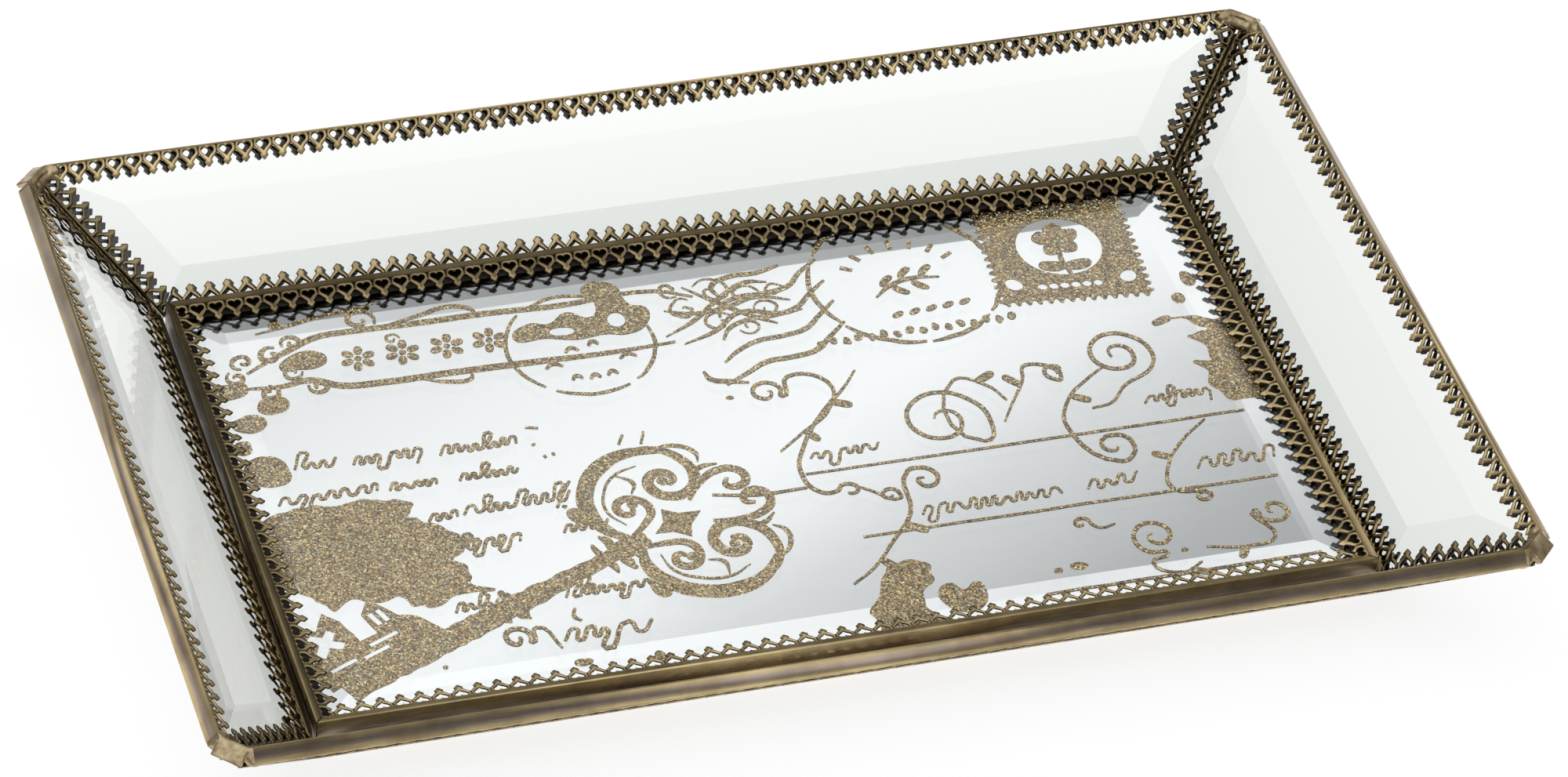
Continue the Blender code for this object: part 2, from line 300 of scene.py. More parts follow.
@dataclass(frozen=True)
class ClearGlass:
    """Polished glass, a little green, whose bevels get painted shade towards the foot and at the slanting ends and a
    painted highlight towards the rim.
    """

    name: str = "clear_glass"
    flat: tuple[float, float, float] = (0.915, 0.938, 0.915)
    # Painted shade for the bevels at the slanting ends and at the foot, and a painted highlight for the bevel at the
    # rim.
    side: tuple[float, float, float] = (0.800, 0.822, 0.800)
    foot: tuple[float, float, float] = (0.700, 0.735, 0.715)
    rim: tuple[float, float, float] = (0.985, 0.995, 0.985)
    # Whether the bevels get the painted shade and highlight.
    ground: bool = True

    def build(self) -> bpy.types.Material:
        """Makes the material."""
        p = Palette(self.name)
        if self.ground:
            # Painted shade and highlight: each bevel's colour is set by which way it faces.
            upright = p.node("ShaderNodeSeparateXYZ", {"Vector": p.node("ShaderNodeNewGeometry").outputs["Normal"]})
            across = p.node("ShaderNodeMath", {0: upright.outputs["X"]}, operation="ABSOLUTE").outputs[0]
            along = p.node("ShaderNodeMath", {0: upright.outputs["Y"]}, operation="ABSOLUTE").outputs[0]
            rise = p.node("ShaderNodeMath", {0: upright.outputs["Z"]}, operation="ABSOLUTE").outputs[0]
            lean = p.node("ShaderNodeMath", {0: across, 1: along}, operation="MINIMUM").outputs[0]
            colour = p.tint(rise, [(0.64, self.foot), (0.67, self.flat), (0.71, self.flat), (0.74, self.rim)])
            colour = p.mix(p.ramp(lean, [(0.03, 0.0), (0.06, 1.0)]), colour, self.side)
            p.feed(p.shader.inputs["Base Color"], colour)
        else:
            p.shader.inputs["Base Color"].default_value = (*self.flat, 1)
        p.feed(p.shader.inputs["Roughness"], p.ramp(p.noise(30.0, 4.0), [(0.55, 0.0), (0.8, 0.012)]))
        p.shader.inputs["Transmission Weight"].default_value = 1.0
        p.shader.inputs["IOR"].default_value = 1.5
        return p.material


@dataclass(frozen=True)
class Silvering:
    """The mirror's silver coat."""

    colour: tuple[float, float, float] = (0.912, 0.929, 0.933)

    def build(self) -> bpy.types.Material:
        """Makes the material."""
        p = Palette("mirror_silver")
        speck = p.ramp(p.noise(700.0, 2.0), [(0.70, 1.0), (0.78, 0.93)])
        p.feed(p.shader.inputs["Base Color"], p.mix(1.0, self.colour, speck, "MULTIPLY"))
        p.shader.inputs["Roughness"].default_value = 0.0
        p.shader.inputs["Metallic"].default_value = 1.0
        return p.material


@dataclass(frozen=True)
class Glitter:
    """Loose glitter in champagne, old gold and bronze, each flake tilted its own way."""

    flakes: float = 2300.0
    tilt: float = 1.05

    def build(self) -> bpy.types.Material:
        """Makes the material."""
        p = Palette("gold_glitter")
        cell = p.node("ShaderNodeTexVoronoi", {"Vector": p.place, "Scale": self.flakes, "Randomness": 1.0})
        pick = p.node("ShaderNodeSeparateColor", {"Color": cell.outputs["Color"]})
        flake = p.tint(
            pick.outputs["Red"],
            [
                (0.0, (0.12, 0.060, 0.010)), (0.30, (0.46, 0.28, 0.080)), (0.52, (0.90, 0.62, 0.24)),
                (0.66, (1.0, 0.84, 0.46)), (1.0, (1.0, 0.97, 0.72)),
            ],
        )
        p.feed(p.shader.inputs["Base Color"], flake)
        p.feed(p.shader.inputs["Roughness"], p.ramp(pick.outputs["Green"], [(0.0, 0.10), (1.0, 0.38)]))
        p.shader.inputs["Metallic"].default_value = 1.0
        lean = p.node("ShaderNodeVectorMath", {0: cell.outputs["Color"], 1: (0.5, 0.5, 0.5)}, operation="SUBTRACT")
        lean = p.node("ShaderNodeVectorMath", {0: lean.outputs[0], "Scale": self.tilt}, operation="SCALE")
        upright = p.node("ShaderNodeNewGeometry").outputs["Normal"]
        turned = p.node("ShaderNodeVectorMath", {0: upright, 1: lean.outputs[0]}, operation="ADD")
        turned = p.node("ShaderNodeVectorMath", {0: turned.outputs[0]}, operation="NORMALIZE")
        p.links.new(turned.outputs[0], p.shader.inputs["Normal"])
        return p.material


@dataclass(frozen=True)
class Dull:
    """A matt surface with a soft mottle, for the board, the felt and the pads."""

    name: str
    dark: tuple[float, float, float]
    light: tuple[float, float, float]
    grain: float
    roughness: float
    depth: float

    def build(self) -> bpy.types.Material:
        """Makes the material."""
        p = Palette(self.name)
        grain = p.noise(self.grain, 5.0)
        p.feed(p.shader.inputs["Base Color"], p.tint(grain, [(0.3, self.dark), (0.7, self.light)]))
        p.shader.inputs["Roughness"].default_value = self.roughness
        p.bump(grain, self.depth, 0.8)
        return p.material


def bands(name: str, darkening: float) -> dict[Run, bpy.types.Material]:
    """A channel spine's finish for each direction that a spine runs in."""
    return {run: BandBrass(run, name, darkening).build() for run in Run}


def ridges() -> dict[str, bpy.types.Material]:
    """The finish of the ridge on each side of the floor's frame: darkest at the back, then the left and the right,
    and brighter than the others at the front.
    """
    side_darkening = (
        ("back", Run.LONG, 0.80), ("front", Run.LONG, -0.25), ("left", Run.SHORT, 0.60),
        ("right", Run.SHORT, 0.35),
    )
    return {side: BandBrass(run, f"{side}_ridge", darkening).build() for side, run, darkening in side_darkening}


def floor_galleries() -> dict[str, bpy.types.Material]:
    """The finish of the pierced lip on each side of the floor's frame, with painted shade that makes the back lip
    darkest, then the left, and the right and front lightest.
    """
    side_darkening = (("back", 0.48), ("left", 0.40), ("front", 0.10), ("right", 0.15))
    return {side: GalleryBrass(f"{side}_floor_brass", darkening).build() for side, darkening in side_darkening}


@dataclass
class Finishes:
    """Every finish of the tray, made once."""

    rim: bpy.types.Material = field(default_factory=GalleryBrass().build)
    # The foot and seam galleries are the rim's brass made darker by a set amount: painted shade, deepest at the
    # seams.
    foot: bpy.types.Material = field(default_factory=GalleryBrass("foot_brass", 0.30).build)
    seam: bpy.types.Material = field(default_factory=GalleryBrass("seam_brass", 0.58).build)
    outer: dict[Run, bpy.types.Material] = field(default_factory=lambda: bands("rim_band", 0.0))
    # The spines of the foot and seam channels are made much darker than the rim's: painted shade.
    inner: dict[Run, bpy.types.Material] = field(default_factory=lambda: bands("inner_band", 0.68))
    ridges: dict[str, bpy.types.Material] = field(default_factory=ridges)
    floors: dict[str, bpy.types.Material] = field(default_factory=floor_galleries)
    bedding: bpy.types.Material = field(
        default_factory=Dull("bedding", (0.010, 0.007, 0.004), (0.040, 0.027, 0.014), 700.0, 0.6, 0.00005).build
    )
    solder: bpy.types.Material = field(default_factory=SolderBrass().build)
    # The solder in the seams is coloured far darker than the rest: painted shade for the groove that it fills.
    groove: bpy.types.Material = field(
        default_factory=SolderBrass("groove_solder", (0.17, 0.125, 0.070), (0.040, 0.028, 0.016)).build
    )
    wall_glass: bpy.types.Material = field(default_factory=ClearGlass("wall_glass").build)
    mirror_glass: bpy.types.Material = field(
        default_factory=ClearGlass("mirror_glass", (0.985, 0.992, 0.990), ground=False).build
    )
    silver: bpy.types.Material = field(default_factory=Silvering().build)
    glitter: bpy.types.Material = field(default_factory=Glitter().build)
    board: bpy.types.Material = field(
        default_factory=Dull("backing_board", (0.07, 0.05, 0.035), (0.14, 0.11, 0.08), 900.0, 0.9, 0.0001).build
    )
    felt: bpy.types.Material = field(
        default_factory=Dull("black_felt", (0.012, 0.012, 0.014), (0.05, 0.05, 0.055), 2600.0, 1.0, 0.0003).build
    )
    rubber: bpy.types.Material = field(
        default_factory=Dull("pad_rubber", (0.03, 0.03, 0.03), (0.06, 0.06, 0.06), 1500.0, 0.75, 0.00004).build
    )


# ------------------------------------------------------------------------------------------------ tray geometry


@dataclass(frozen=True)
class TraySizes:
    """The tray's driving sizes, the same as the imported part's."""

    floor_length: float = 292.0
    floor_width: float = 170.0
    frame_height: float = 10.0
    tip_z: float = 11.5
    ridge_lift: float = 2.0
    floor_band: float = 1.5
    foot_band: float = 2.4
    rim_rise: float = 28.9
    slope: float = radians(46.0)
    foot_drop: float = 4.0
    foot_offset: float = 0.35
    channel_width: float = 4.7
    gap: float = 0.3
    corner_cut: float = 7.0
    cap_tilt: float = radians(53.0)

    @property
    def wall_height(self) -> float:
        """A wall's height up its slope."""
        return (self.rim_rise + self.foot_drop) / sin(self.slope)

    @property
    def run(self) -> float:
        """How much longer a wall gets at each end for each unit up its slope."""
        return cos(self.slope)

    @property
    def stretch(self) -> float:
        """A wall's slanting end against its height."""
        return sqrt(1 + self.run**2)

    @property
    def seam_length(self) -> float:
        """The length of a wall's slanting end."""
        return self.wall_height * self.stretch

    @property
    def foot_mitre(self) -> float:
        """How far a channel is cut back for each unit of its depth at a foot corner."""
        return self.stretch - self.run

    @property
    def rim_mitre(self) -> float:
        """The same at a rim corner."""
        return self.stretch + self.run

    @property
    def cap_level(self) -> float:
        """From a rim corner down to the face of the flat that cuts it off."""
        return self.corner_cut * cos(self.cap_tilt) / sqrt(2)


@dataclass(frozen=True)
class Side:
    """One side of the tray, and the frame of its wall: x along it, y up its slope, z into the tray."""

    name: str
    turn: float
    across: float
    half: float
    run: Run
    sizes: TraySizes = TraySizes()

    def wall(self) -> Matrix:
        """Where the wall's frame lies in the tray, from the middle of its foot on its inner face."""
        s = self.sizes
        return (
            Matrix.Rotation(self.turn, 4, "Z")
            @ Matrix.Translation((0, self.across + s.foot_offset, s.tip_z - s.foot_drop))
            @ Matrix.Rotation(s.slope, 4, "X")
        )

    def wall_end(self, height: float) -> float:
        """Half the length of the wall's framed outline.

        Args:
            height: how far up the slope.

        Returns:
            The half length.
        """
        return self.half + self.sizes.foot_offset + height * self.sizes.run

    def rim(self) -> Matrix:
        """Where the rim channel lies: x along it, y down the slope, z into the tray."""
        return self.wall() @ Matrix.Translation((0, self.sizes.wall_height, 0)) @ Matrix.Rotation(pi, 4, "Z")

    def floor(self) -> Matrix:
        """Where the floor channel lies, from its ridge: x along it, y over the mirror, z up."""
        ridge = self.sizes.tip_z + self.sizes.ridge_lift
        place = Matrix.Rotation(self.turn, 4, "Z") @ Matrix.Translation((0, self.across, ridge))
        return place @ Matrix.Rotation(pi, 4, "Z")

    def seam(self, end: int) -> Matrix:
        """Where the seam channel lies: x along the wall's slanting end, y into the wall.

        Args:
            end: 1 for the wall's +x end, -1 for its other end.

        Returns:
            The matrix, with x pointing up the seam for end 1 and down it for end -1.
        """
        s = self.sizes
        into_wall = Vector((-end, s.run, 0)) / s.stretch
        middle = Vector((end * self.wall_end(s.wall_height / 2), s.wall_height / 2, 0))
        place = Matrix.Translation(middle + into_wall * (s.gap / 2))
        return self.wall() @ place @ Matrix.Rotation(atan2(end, s.run), 4, "Z")

    def rim_corner(self, end: int) -> Vector:
        """The sharp rim corner at one end of the wall, on its inner face, in the tray."""
        s = self.sizes
        return self.wall() @ Vector((end * self.wall_end(s.wall_height), s.wall_height, 0))


SIZES = TraySizes()
SIDES = {
    "back": Side("back", 0.0, SIZES.floor_width / 2, SIZES.floor_length / 2, Run.LONG),
    "left": Side("left", pi / 2, SIZES.floor_length / 2, SIZES.floor_width / 2, Run.SHORT),
    "front": Side("front", pi, SIZES.floor_width / 2, SIZES.floor_length / 2, Run.LONG),
    "right": Side("right", -pi / 2, SIZES.floor_length / 2, SIZES.floor_width / 2, Run.SHORT),
}
CORNERS = {
    "back_right": ("back", "right"),
    "front_right": ("right", "front"),
    "front_left": ("front", "left"),
    "back_left": ("left", "back"),
}


def finish_piece(
    name: str, bm: bmesh.types.BMesh, place: Matrix, materials: list[bpy.types.Material]
) -> bpy.types.Object:
    """Turns a bmesh in millimetres into an object at the origin, with its place in its mesh.

    Args:
        name: the piece's name.
        bm: the piece's bmesh, which this frees.
        place: where the bmesh lies in the tray, in millimetres.
        materials: the piece's material slots.

    Returns:
        The object.
    """
    bmesh.ops.recalc_face_normals(bm, faces=bm.faces)
    bm.transform(Matrix.Scale(MM, 4) @ place)
    mesh = bpy.data.meshes.new(name)
    bm.to_mesh(mesh)
    bm.free()
    for material in materials:
        mesh.materials.append(material)
    mesh.shade_smooth()
    made = bpy.data.objects.new(name, mesh)
    bpy.context.scene.collection.objects.link(made)
    return made


def register(piece: bpy.types.Object, slot: str, *nodes: str) -> bpy.types.Object:
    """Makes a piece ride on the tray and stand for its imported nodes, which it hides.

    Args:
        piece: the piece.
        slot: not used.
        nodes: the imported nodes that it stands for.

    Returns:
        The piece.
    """
    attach(piece, BODY)
    if nodes:
        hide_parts(*nodes)
    log.info("%s: %d faces%s", piece.name, len(piece.data.polygons), f", for {', '.join(nodes)}" if nodes else "")
    return piece


# ---------------------------------------------------------------------------------------------- brass gallery


@dataclass(frozen=True)
class Cut:
    """A plane that trims a lip. What lies on the side that its normal points to is taken off."""

    point: Vector
    normal: Vector


@dataclass
class GalleryMotif:
    """One repeat of the pierced gallery: a heart hole in a ring, with a neck and a three-lobed tip."""

    pitch: float = 5.2
    root: float = 0.45
    thickness: float = 0.62
    rounding: float = 0.30
    groove: float = 0.26
    edge: tuple[Point, ...] = (
        (2.6, 2.75), (2.3, 2.9), (1.95, 3.35), (1.45, 3.95), (1.0, 4.45), (0.98, 4.75), (1.2, 5.05),
        (1.16, 5.4), (0.78, 5.72), (0.5, 6.12), (0.0, 6.5),
    )
    heart: tuple[Point, ...] = (
        (0.0, 3.75), (0.55, 3.1), (1.3, 2.55), (1.72, 2.0), (1.7, 1.4), (1.3, 1.02), (0.8, 0.98), (0.3, 1.2),
        (0.0, 1.6),
    )

    def build(self) -> bpy.types.Mesh:
        """Makes the repeat about x = 0, with its roots at +y and its bright face at z = 0.

        Returns:
            A mesh with a float attribute, relief, that is 1 on the bright face and 0 on the back.
        """
        bm = bmesh.new()
        relief = bm.verts.layers.float.new("relief")
        outline = ((0.0, self.root), (self.pitch / 2, self.root), *self.edge, *self.heart)
        face = bm.faces.new([bm.verts.new((x, y, 0)) for x, y in outline])
        back = bmesh.ops.extrude_face_region(bm, geom=[face], use_keep_orig=True)
        verts = [item for item in back["geom"] if isinstance(item, bmesh.types.BMVert)]
        bmesh.ops.translate(bm, verts=verts, vec=(0, 0, -self.thickness))
        bmesh.ops.recalc_face_normals(bm, faces=bm.faces)
        rounded = [e for e in bm.edges if self.on_face(e) and not self.on_cut(e.verts) and not self.on_root(e)]
        bmesh.ops.bevel(
            bm, geom=rounded, offset=self.rounding, segments=1, profile=0.5, affect="EDGES", material=-1,
            clamp_overlap=True,
        )
        seams = [f for f in bm.faces if self.on_cut(f.verts)]
        bmesh.ops.delete(bm, geom=seams, context="FACES")
        for vert in bm.verts:
            vert[relief] = 1 + 0.60 * vert.co.z / self.thickness
            if vert.co.x > self.pitch / 2 - 1e-4 and vert.co.z > -1e-4:
                vert.co.z -= self.groove
                vert[relief] = 0.55
        bmesh.ops.mirror(bm, geom=bm.verts[:] + bm.edges[:] + bm.faces[:], axis="X", merge_dist=1e-4)
        bmesh.ops.recalc_face_normals(bm, faces=bm.faces)
        mesh = bpy.data.meshes.new("gallery_repeat")
        bm.to_mesh(mesh)
        bm.free()
        return mesh

    @staticmethod
    def on_face(edge: bmesh.types.BMEdge) -> bool:
        """True for an edge of the bright face."""
        return all(abs(v.co.z) < 1e-6 for v in edge.verts)

    def on_root(self, edge: bmesh.types.BMEdge) -> bool:
        """True for the edge that the spine covers."""
        return all(abs(v.co.y - self.root) < 1e-6 for v in edge.verts)

    def on_cut(self, verts: bmesh.types.BMVertSeq) -> bool:
        """True if all these points lie on the repeat's middle line, or all on its end."""
        return all(abs(v.co.x) < 1e-4 for v in verts) or all(abs(v.co.x - self.pitch / 2) < 1e-4 for v in verts)


@dataclass
class ChannelBuilder:
    """Builds lengths of U-section channel with a pierced gallery on one or both lips."""

    motif: GalleryMotif = field(default_factory=GalleryMotif)
    sheet: float = 0.45
    fold: float = 0.55
    lip_band: float = 0.62
    crown: float = 0.12

    def __post_init__(self) -> None:
        """Makes the repeat that every lip shares."""
        self.repeat = self.motif.build()

    def lip(
        self,
        bm: bmesh.types.BMesh,
        length: float,
        width: float,
        which: Lip,
        cuts: list[Cut],
        shift: float,
        band: float = 0.0,
    ) -> None:
        """Adds one pierced lip, trimmed at its ends.

        Args:
            bm: the channel's bmesh, which has the float layer relief.
            length: how much of x the lip covers before it is trimmed.
            width: the channel's outside width.
            which: the face that it lies on.
            cuts: the planes that trim it.
            shift: how far the repeats are moved along x.
            band: how much plain metal lies before the repeats, past the usual.
        """
        strip = bmesh.new()
        strip.verts.layers.float.new("relief")
        count = int(length / self.motif.pitch) + 2
        for i in range(count):
            start = len(strip.verts)
            strip.from_mesh(self.repeat)
            strip.verts.ensure_lookup_table()
            x = (i - (count - 1) / 2) * self.motif.pitch + shift
            bmesh.ops.translate(strip, verts=strip.verts[start:], vec=(x, band, 0))
        bmesh.ops.remove_doubles(strip, verts=strip.verts, dist=1e-3)
        for cut in cuts:
            geom = strip.verts[:] + strip.edges[:] + strip.faces[:]
            bmesh.ops.bisect_plane(
                strip, geom=geom, dist=1e-4, plane_co=cut.point, plane_no=cut.normal, clear_outer=True
            )
        bmesh.ops.holes_fill(strip, edges=[e for e in strip.edges if e.is_boundary], sides=0)
        if which is Lip.OUTER:
            bmesh.ops.scale(strip, verts=strip.verts, vec=(1, 1, -1))
            bmesh.ops.translate(strip, verts=strip.verts, vec=(0, 0, -width))
        bmesh.ops.recalc_face_normals(strip, faces=strip.faces)
        scratch = bpy.data.meshes.new("lip")
        strip.to_mesh(scratch)
        strip.free()
        bm.from_mesh(scratch)
        bpy.data.meshes.remove(scratch)

    def spine(self, bm: bmesh.types.BMesh, ends: Point, width: float, mitres: Point, lips: Point) -> None:
        """Adds the folded spine as a closed sheet, crowned a little, with its band along each lip.

        Args:
            bm: the channel's bmesh, which has the float layer relief.
            ends: where it starts and stops along x.
            width: the channel's outside width.
            mitres: how far each end is cut back for each unit of depth.
            lips: how deep the band on the inner lip is, and on the outer one.
        """
        relief = bm.verts.layers.float["relief"]
        f, w, t = self.fold, width, self.sheet
        near_lip, far_lip = lips
        steps = [(f * (1 - cos(a)), -f * (1 - sin(a))) for a in (pi / 2, pi / 4, 0.0)]
        outer = [(near_lip, 0.0), *steps, (-self.crown + 0.12, -w / 2)]
        outer += [(y, -w - z) for y, z in reversed(steps)] + [(far_lip, -w)]
        inner = [(y, z) for y, z in ((far_lip, t - w), (t + 0.05, t - w), (t + 0.05, -t), (near_lip, -t))]
        faces = extrude_along(bm, outer + inner, ends, mitres, 1)
        for vert in {vert for face in faces for vert in face.verts}:
            vert[relief] = 1.0 if abs(vert.co.z + w / 2) < 0.1 else 0.0
        bmesh.ops.recalc_face_normals(bm, faces=list(faces))

    def new(self) -> bmesh.types.BMesh:
        """Starts a channel's bmesh."""
        bm = bmesh.new()
        bm.verts.layers.float.new("relief")
        return bm


def extrude_along(
    bm: bmesh.types.BMesh, section: list[Point], ends: Point, mitres: Point, slot: int
) -> set[bmesh.types.BMFace]:
    """Extrudes a section along x between two mitred ends.

    Args:
        bm: the bmesh that gets it.
        section: the section's points, in y and z.
        ends: where it starts and stops along x.
        mitres: how far each end is cut back for each unit of depth.
        slot: its faces' material slot.

    Returns:
        The new faces.
    """
    near = [bm.verts.new((ends[0] + mitres[0] * max(y, 0), y, z)) for y, z in section]
    face = bm.faces.new(near)
    copied = bmesh.ops.extrude_face_region(bm, geom=[face], use_keep_orig=True)
    far = [item for item in copied["geom"] if isinstance(item, bmesh.types.BMVert)]
    for vert in far:
        vert.co.x = ends[1] - mitres[1] * max(vert.co.y, 0)
    faces = {each for vert in (*near, *far) for each in vert.link_faces}
    for each in faces:
        each.material_index = slot
    return faces


def mitre_cut(end: float, sign: int, mitre: float, clear: float) -> Cut:
    """The plane that mitres a lip at one end.

    Args:
        end: the sharp corner's place along x.
        sign: 1 at the +x end, -1 at the other.
        mitre: how far it is cut back for each unit of depth.
        clear: the clearance to the other channel.

    Returns:
        The cut.
    """
    return Cut(Vector((end - sign * clear, 0, 0)), Vector((sign, mitre, 0)).normalized())


def cap_cut(side: Side, end: int, place: Matrix, sink: float) -> Cut:
    """The flat that cuts off a rim corner, in a channel's frame.

    Args:
        side: the wall's side.
        end: the wall's end.
        place: the channel's frame.
        sink: how far under the solder's face the metal ends.

    Returns:
        The cut.
    """
    corner = side.rim_corner(end)
    plan = Vector((copysign(1, corner.x), copysign(1, corner.y), 0)).normalized()
    facing = plan * cos(SIZES.cap_tilt) + UP * sin(SIZES.cap_tilt)
    back = place.inverted()
    return Cut(back @ (corner - facing * (SIZES.cap_level + sink)), (back.to_3x3() @ facing).normalized())


@dataclass
class BrassWork:
    """All the channel: rim, seam and foot channels round the walls, and the floor's frame."""

    finishes: Finishes
    builder: ChannelBuilder = field(default_factory=ChannelBuilder)
    clear: float = 0.12
    gap: float = 0.3

    def rim_channel(self, side: Side) -> bpy.types.Object:
        """Builds the channel along a wall's top edge."""
        s, b = SIZES, self.builder
        half = side.wall_end(s.wall_height)
        place = side.rim()
        bm = b.new()
        for which in Lip:
            cuts = [mitre_cut(sign * half, sign, s.rim_mitre, self.clear) for sign in (1, -1)]
            cuts += [cap_cut(side, end, place, 0.6 if which is Lip.INNER else 2.6) for end in (1, -1)]
            b.lip(bm, 2 * half, s.channel_width, which, cuts, 0.0 if which is Lip.INNER else 1.0)
        ends = (s.corner_cut - half, half - s.corner_cut)
        b.spine(bm, ends, s.channel_width, (0.9, 0.9), (b.lip_band, b.lip_band))
        looks = [self.finishes.rim, self.finishes.outer[side.run]]
        piece = finish_piece(f"rim_gallery_{side.name}", bm, place, looks)
        return register(piece, "antique_brass", f"rim_channel_{side.name}")

    def foot_channel(self, side: Side) -> bpy.types.Object:
        """Builds the channel along a wall's bottom edge, mitred into the seam channels."""
        s, b = SIZES, self.builder
        half = side.wall_end(0)
        bm = b.new()
        for which in Lip:
            cuts = [mitre_cut(sign * half, sign, s.foot_mitre, self.clear) for sign in (1, -1)]
            shift = 0.0 if which is Lip.INNER else 1.3
            b.lip(bm, 2 * half, s.channel_width, which, cuts, shift, s.foot_band - b.lip_band)
        ends = (self.gap - half, half - self.gap)
        b.spine(bm, ends, s.channel_width, (s.foot_mitre, s.foot_mitre), (s.foot_band, s.foot_band))
        piece = finish_piece(
            f"foot_gallery_{side.name}", bm, side.wall(), [self.finishes.foot, self.finishes.inner[side.run]]
        )
        return register(piece, "antique_brass", f"foot_channel_{side.name}")

    def seam_channel(self, side: Side, end: int, corner: str) -> bpy.types.Object:
        """Builds the channel along one slanting end of a wall.

        Args:
            side: the wall's side.
            end: the wall's end.
            corner: the corner's name.

        Returns:
            The piece.
        """
        s, b = SIZES, self.builder
        half = s.seam_length / 2
        place = side.seam(end)
        bm = b.new()
        for which in Lip:
            cuts = [
                mitre_cut(-end * half, -end, s.foot_mitre, self.clear),
                mitre_cut(end * half, end, s.rim_mitre, self.clear),
                cap_cut(side, end, place, 0.9 if which is Lip.INNER else 2.8),
            ]
            b.lip(bm, 2 * half, s.channel_width, which, cuts, -1.2 if which is Lip.INNER else 0.9)
        low, high = (self.gap, s.foot_mitre), (5.2, 0.9)
        near, far = (low, high) if end > 0 else (high, low)
        b.spine(bm, (-half + near[0], half - far[0]), s.channel_width, (near[1], far[1]), (b.lip_band, b.lip_band))
        piece = finish_piece(
            f"seam_gallery_{side.name}_at_{corner}", bm, place, [self.finishes.seam, self.finishes.inner[Run.CORNER]]
        )
        return register(piece, "antique_brass", f"seam_channel_{side.name}_at_{corner}")

    def floor_channel(self, side: Side) -> bpy.types.Object:
        """Builds one side of the floor's frame, whose pierced lip slopes from the ridge down to the mirror."""
        s, b = SIZES, self.builder
        half = side.half
        bm = b.new()
        cuts = [mitre_cut(sign * half, sign, 1.0, self.clear) for sign in (1, -1)]
        height = s.frame_height + s.ridge_lift
        band = s.floor_band
        b.lip(bm, 2 * half, height, Lip.INNER, cuts, 0.0, band)
        b.spine(bm, (self.gap - half, half - self.gap), height, (1.0, 1.0), (b.lip_band + band, 6.2))
        for vert in bm.verts:
            if vert.co.z > -2.0:
                vert.co.z -= s.ridge_lift * max(vert.co.y, 0.0) / (b.motif.edge[-1][1] + band)
        self.bed(bm, half)
        f = self.finishes
        piece = finish_piece(
            f"floor_gallery_{side.name}", bm, side.floor(), [f.floors[side.name], f.ridges[side.name], f.bedding]
        )
        return register(piece, "antique_brass", f"floor_channel_{side.name}")

    def bed(self, bm: bmesh.types.BMesh, half: float) -> None:
        """Adds the dark bedding that holds the mirror's edge under the sloping lip.

        Args:
            bm: the floor channel's bmesh.
            half: half the channel's length.
        """
        section = [(0.55, -3.84), (4.7, -3.45), (4.9, -3.40), (4.7, -3.36), (0.55, -3.60)]
        extrude_along(bm, section, (self.gap - half, half - self.gap), (1.0, 1.0), 2)

    def build(self) -> None:
        """Builds every channel of the tray."""
        for side in SIDES.values():
            self.rim_channel(side)
            self.foot_channel(side)
            self.floor_channel(side)
        for corner, names in CORNERS.items():
            for name, end in zip(names, (1, -1)):
                self.seam_channel(SIDES[name], end, corner)


# ------------------------------------------------------------------------------------------------------ solder


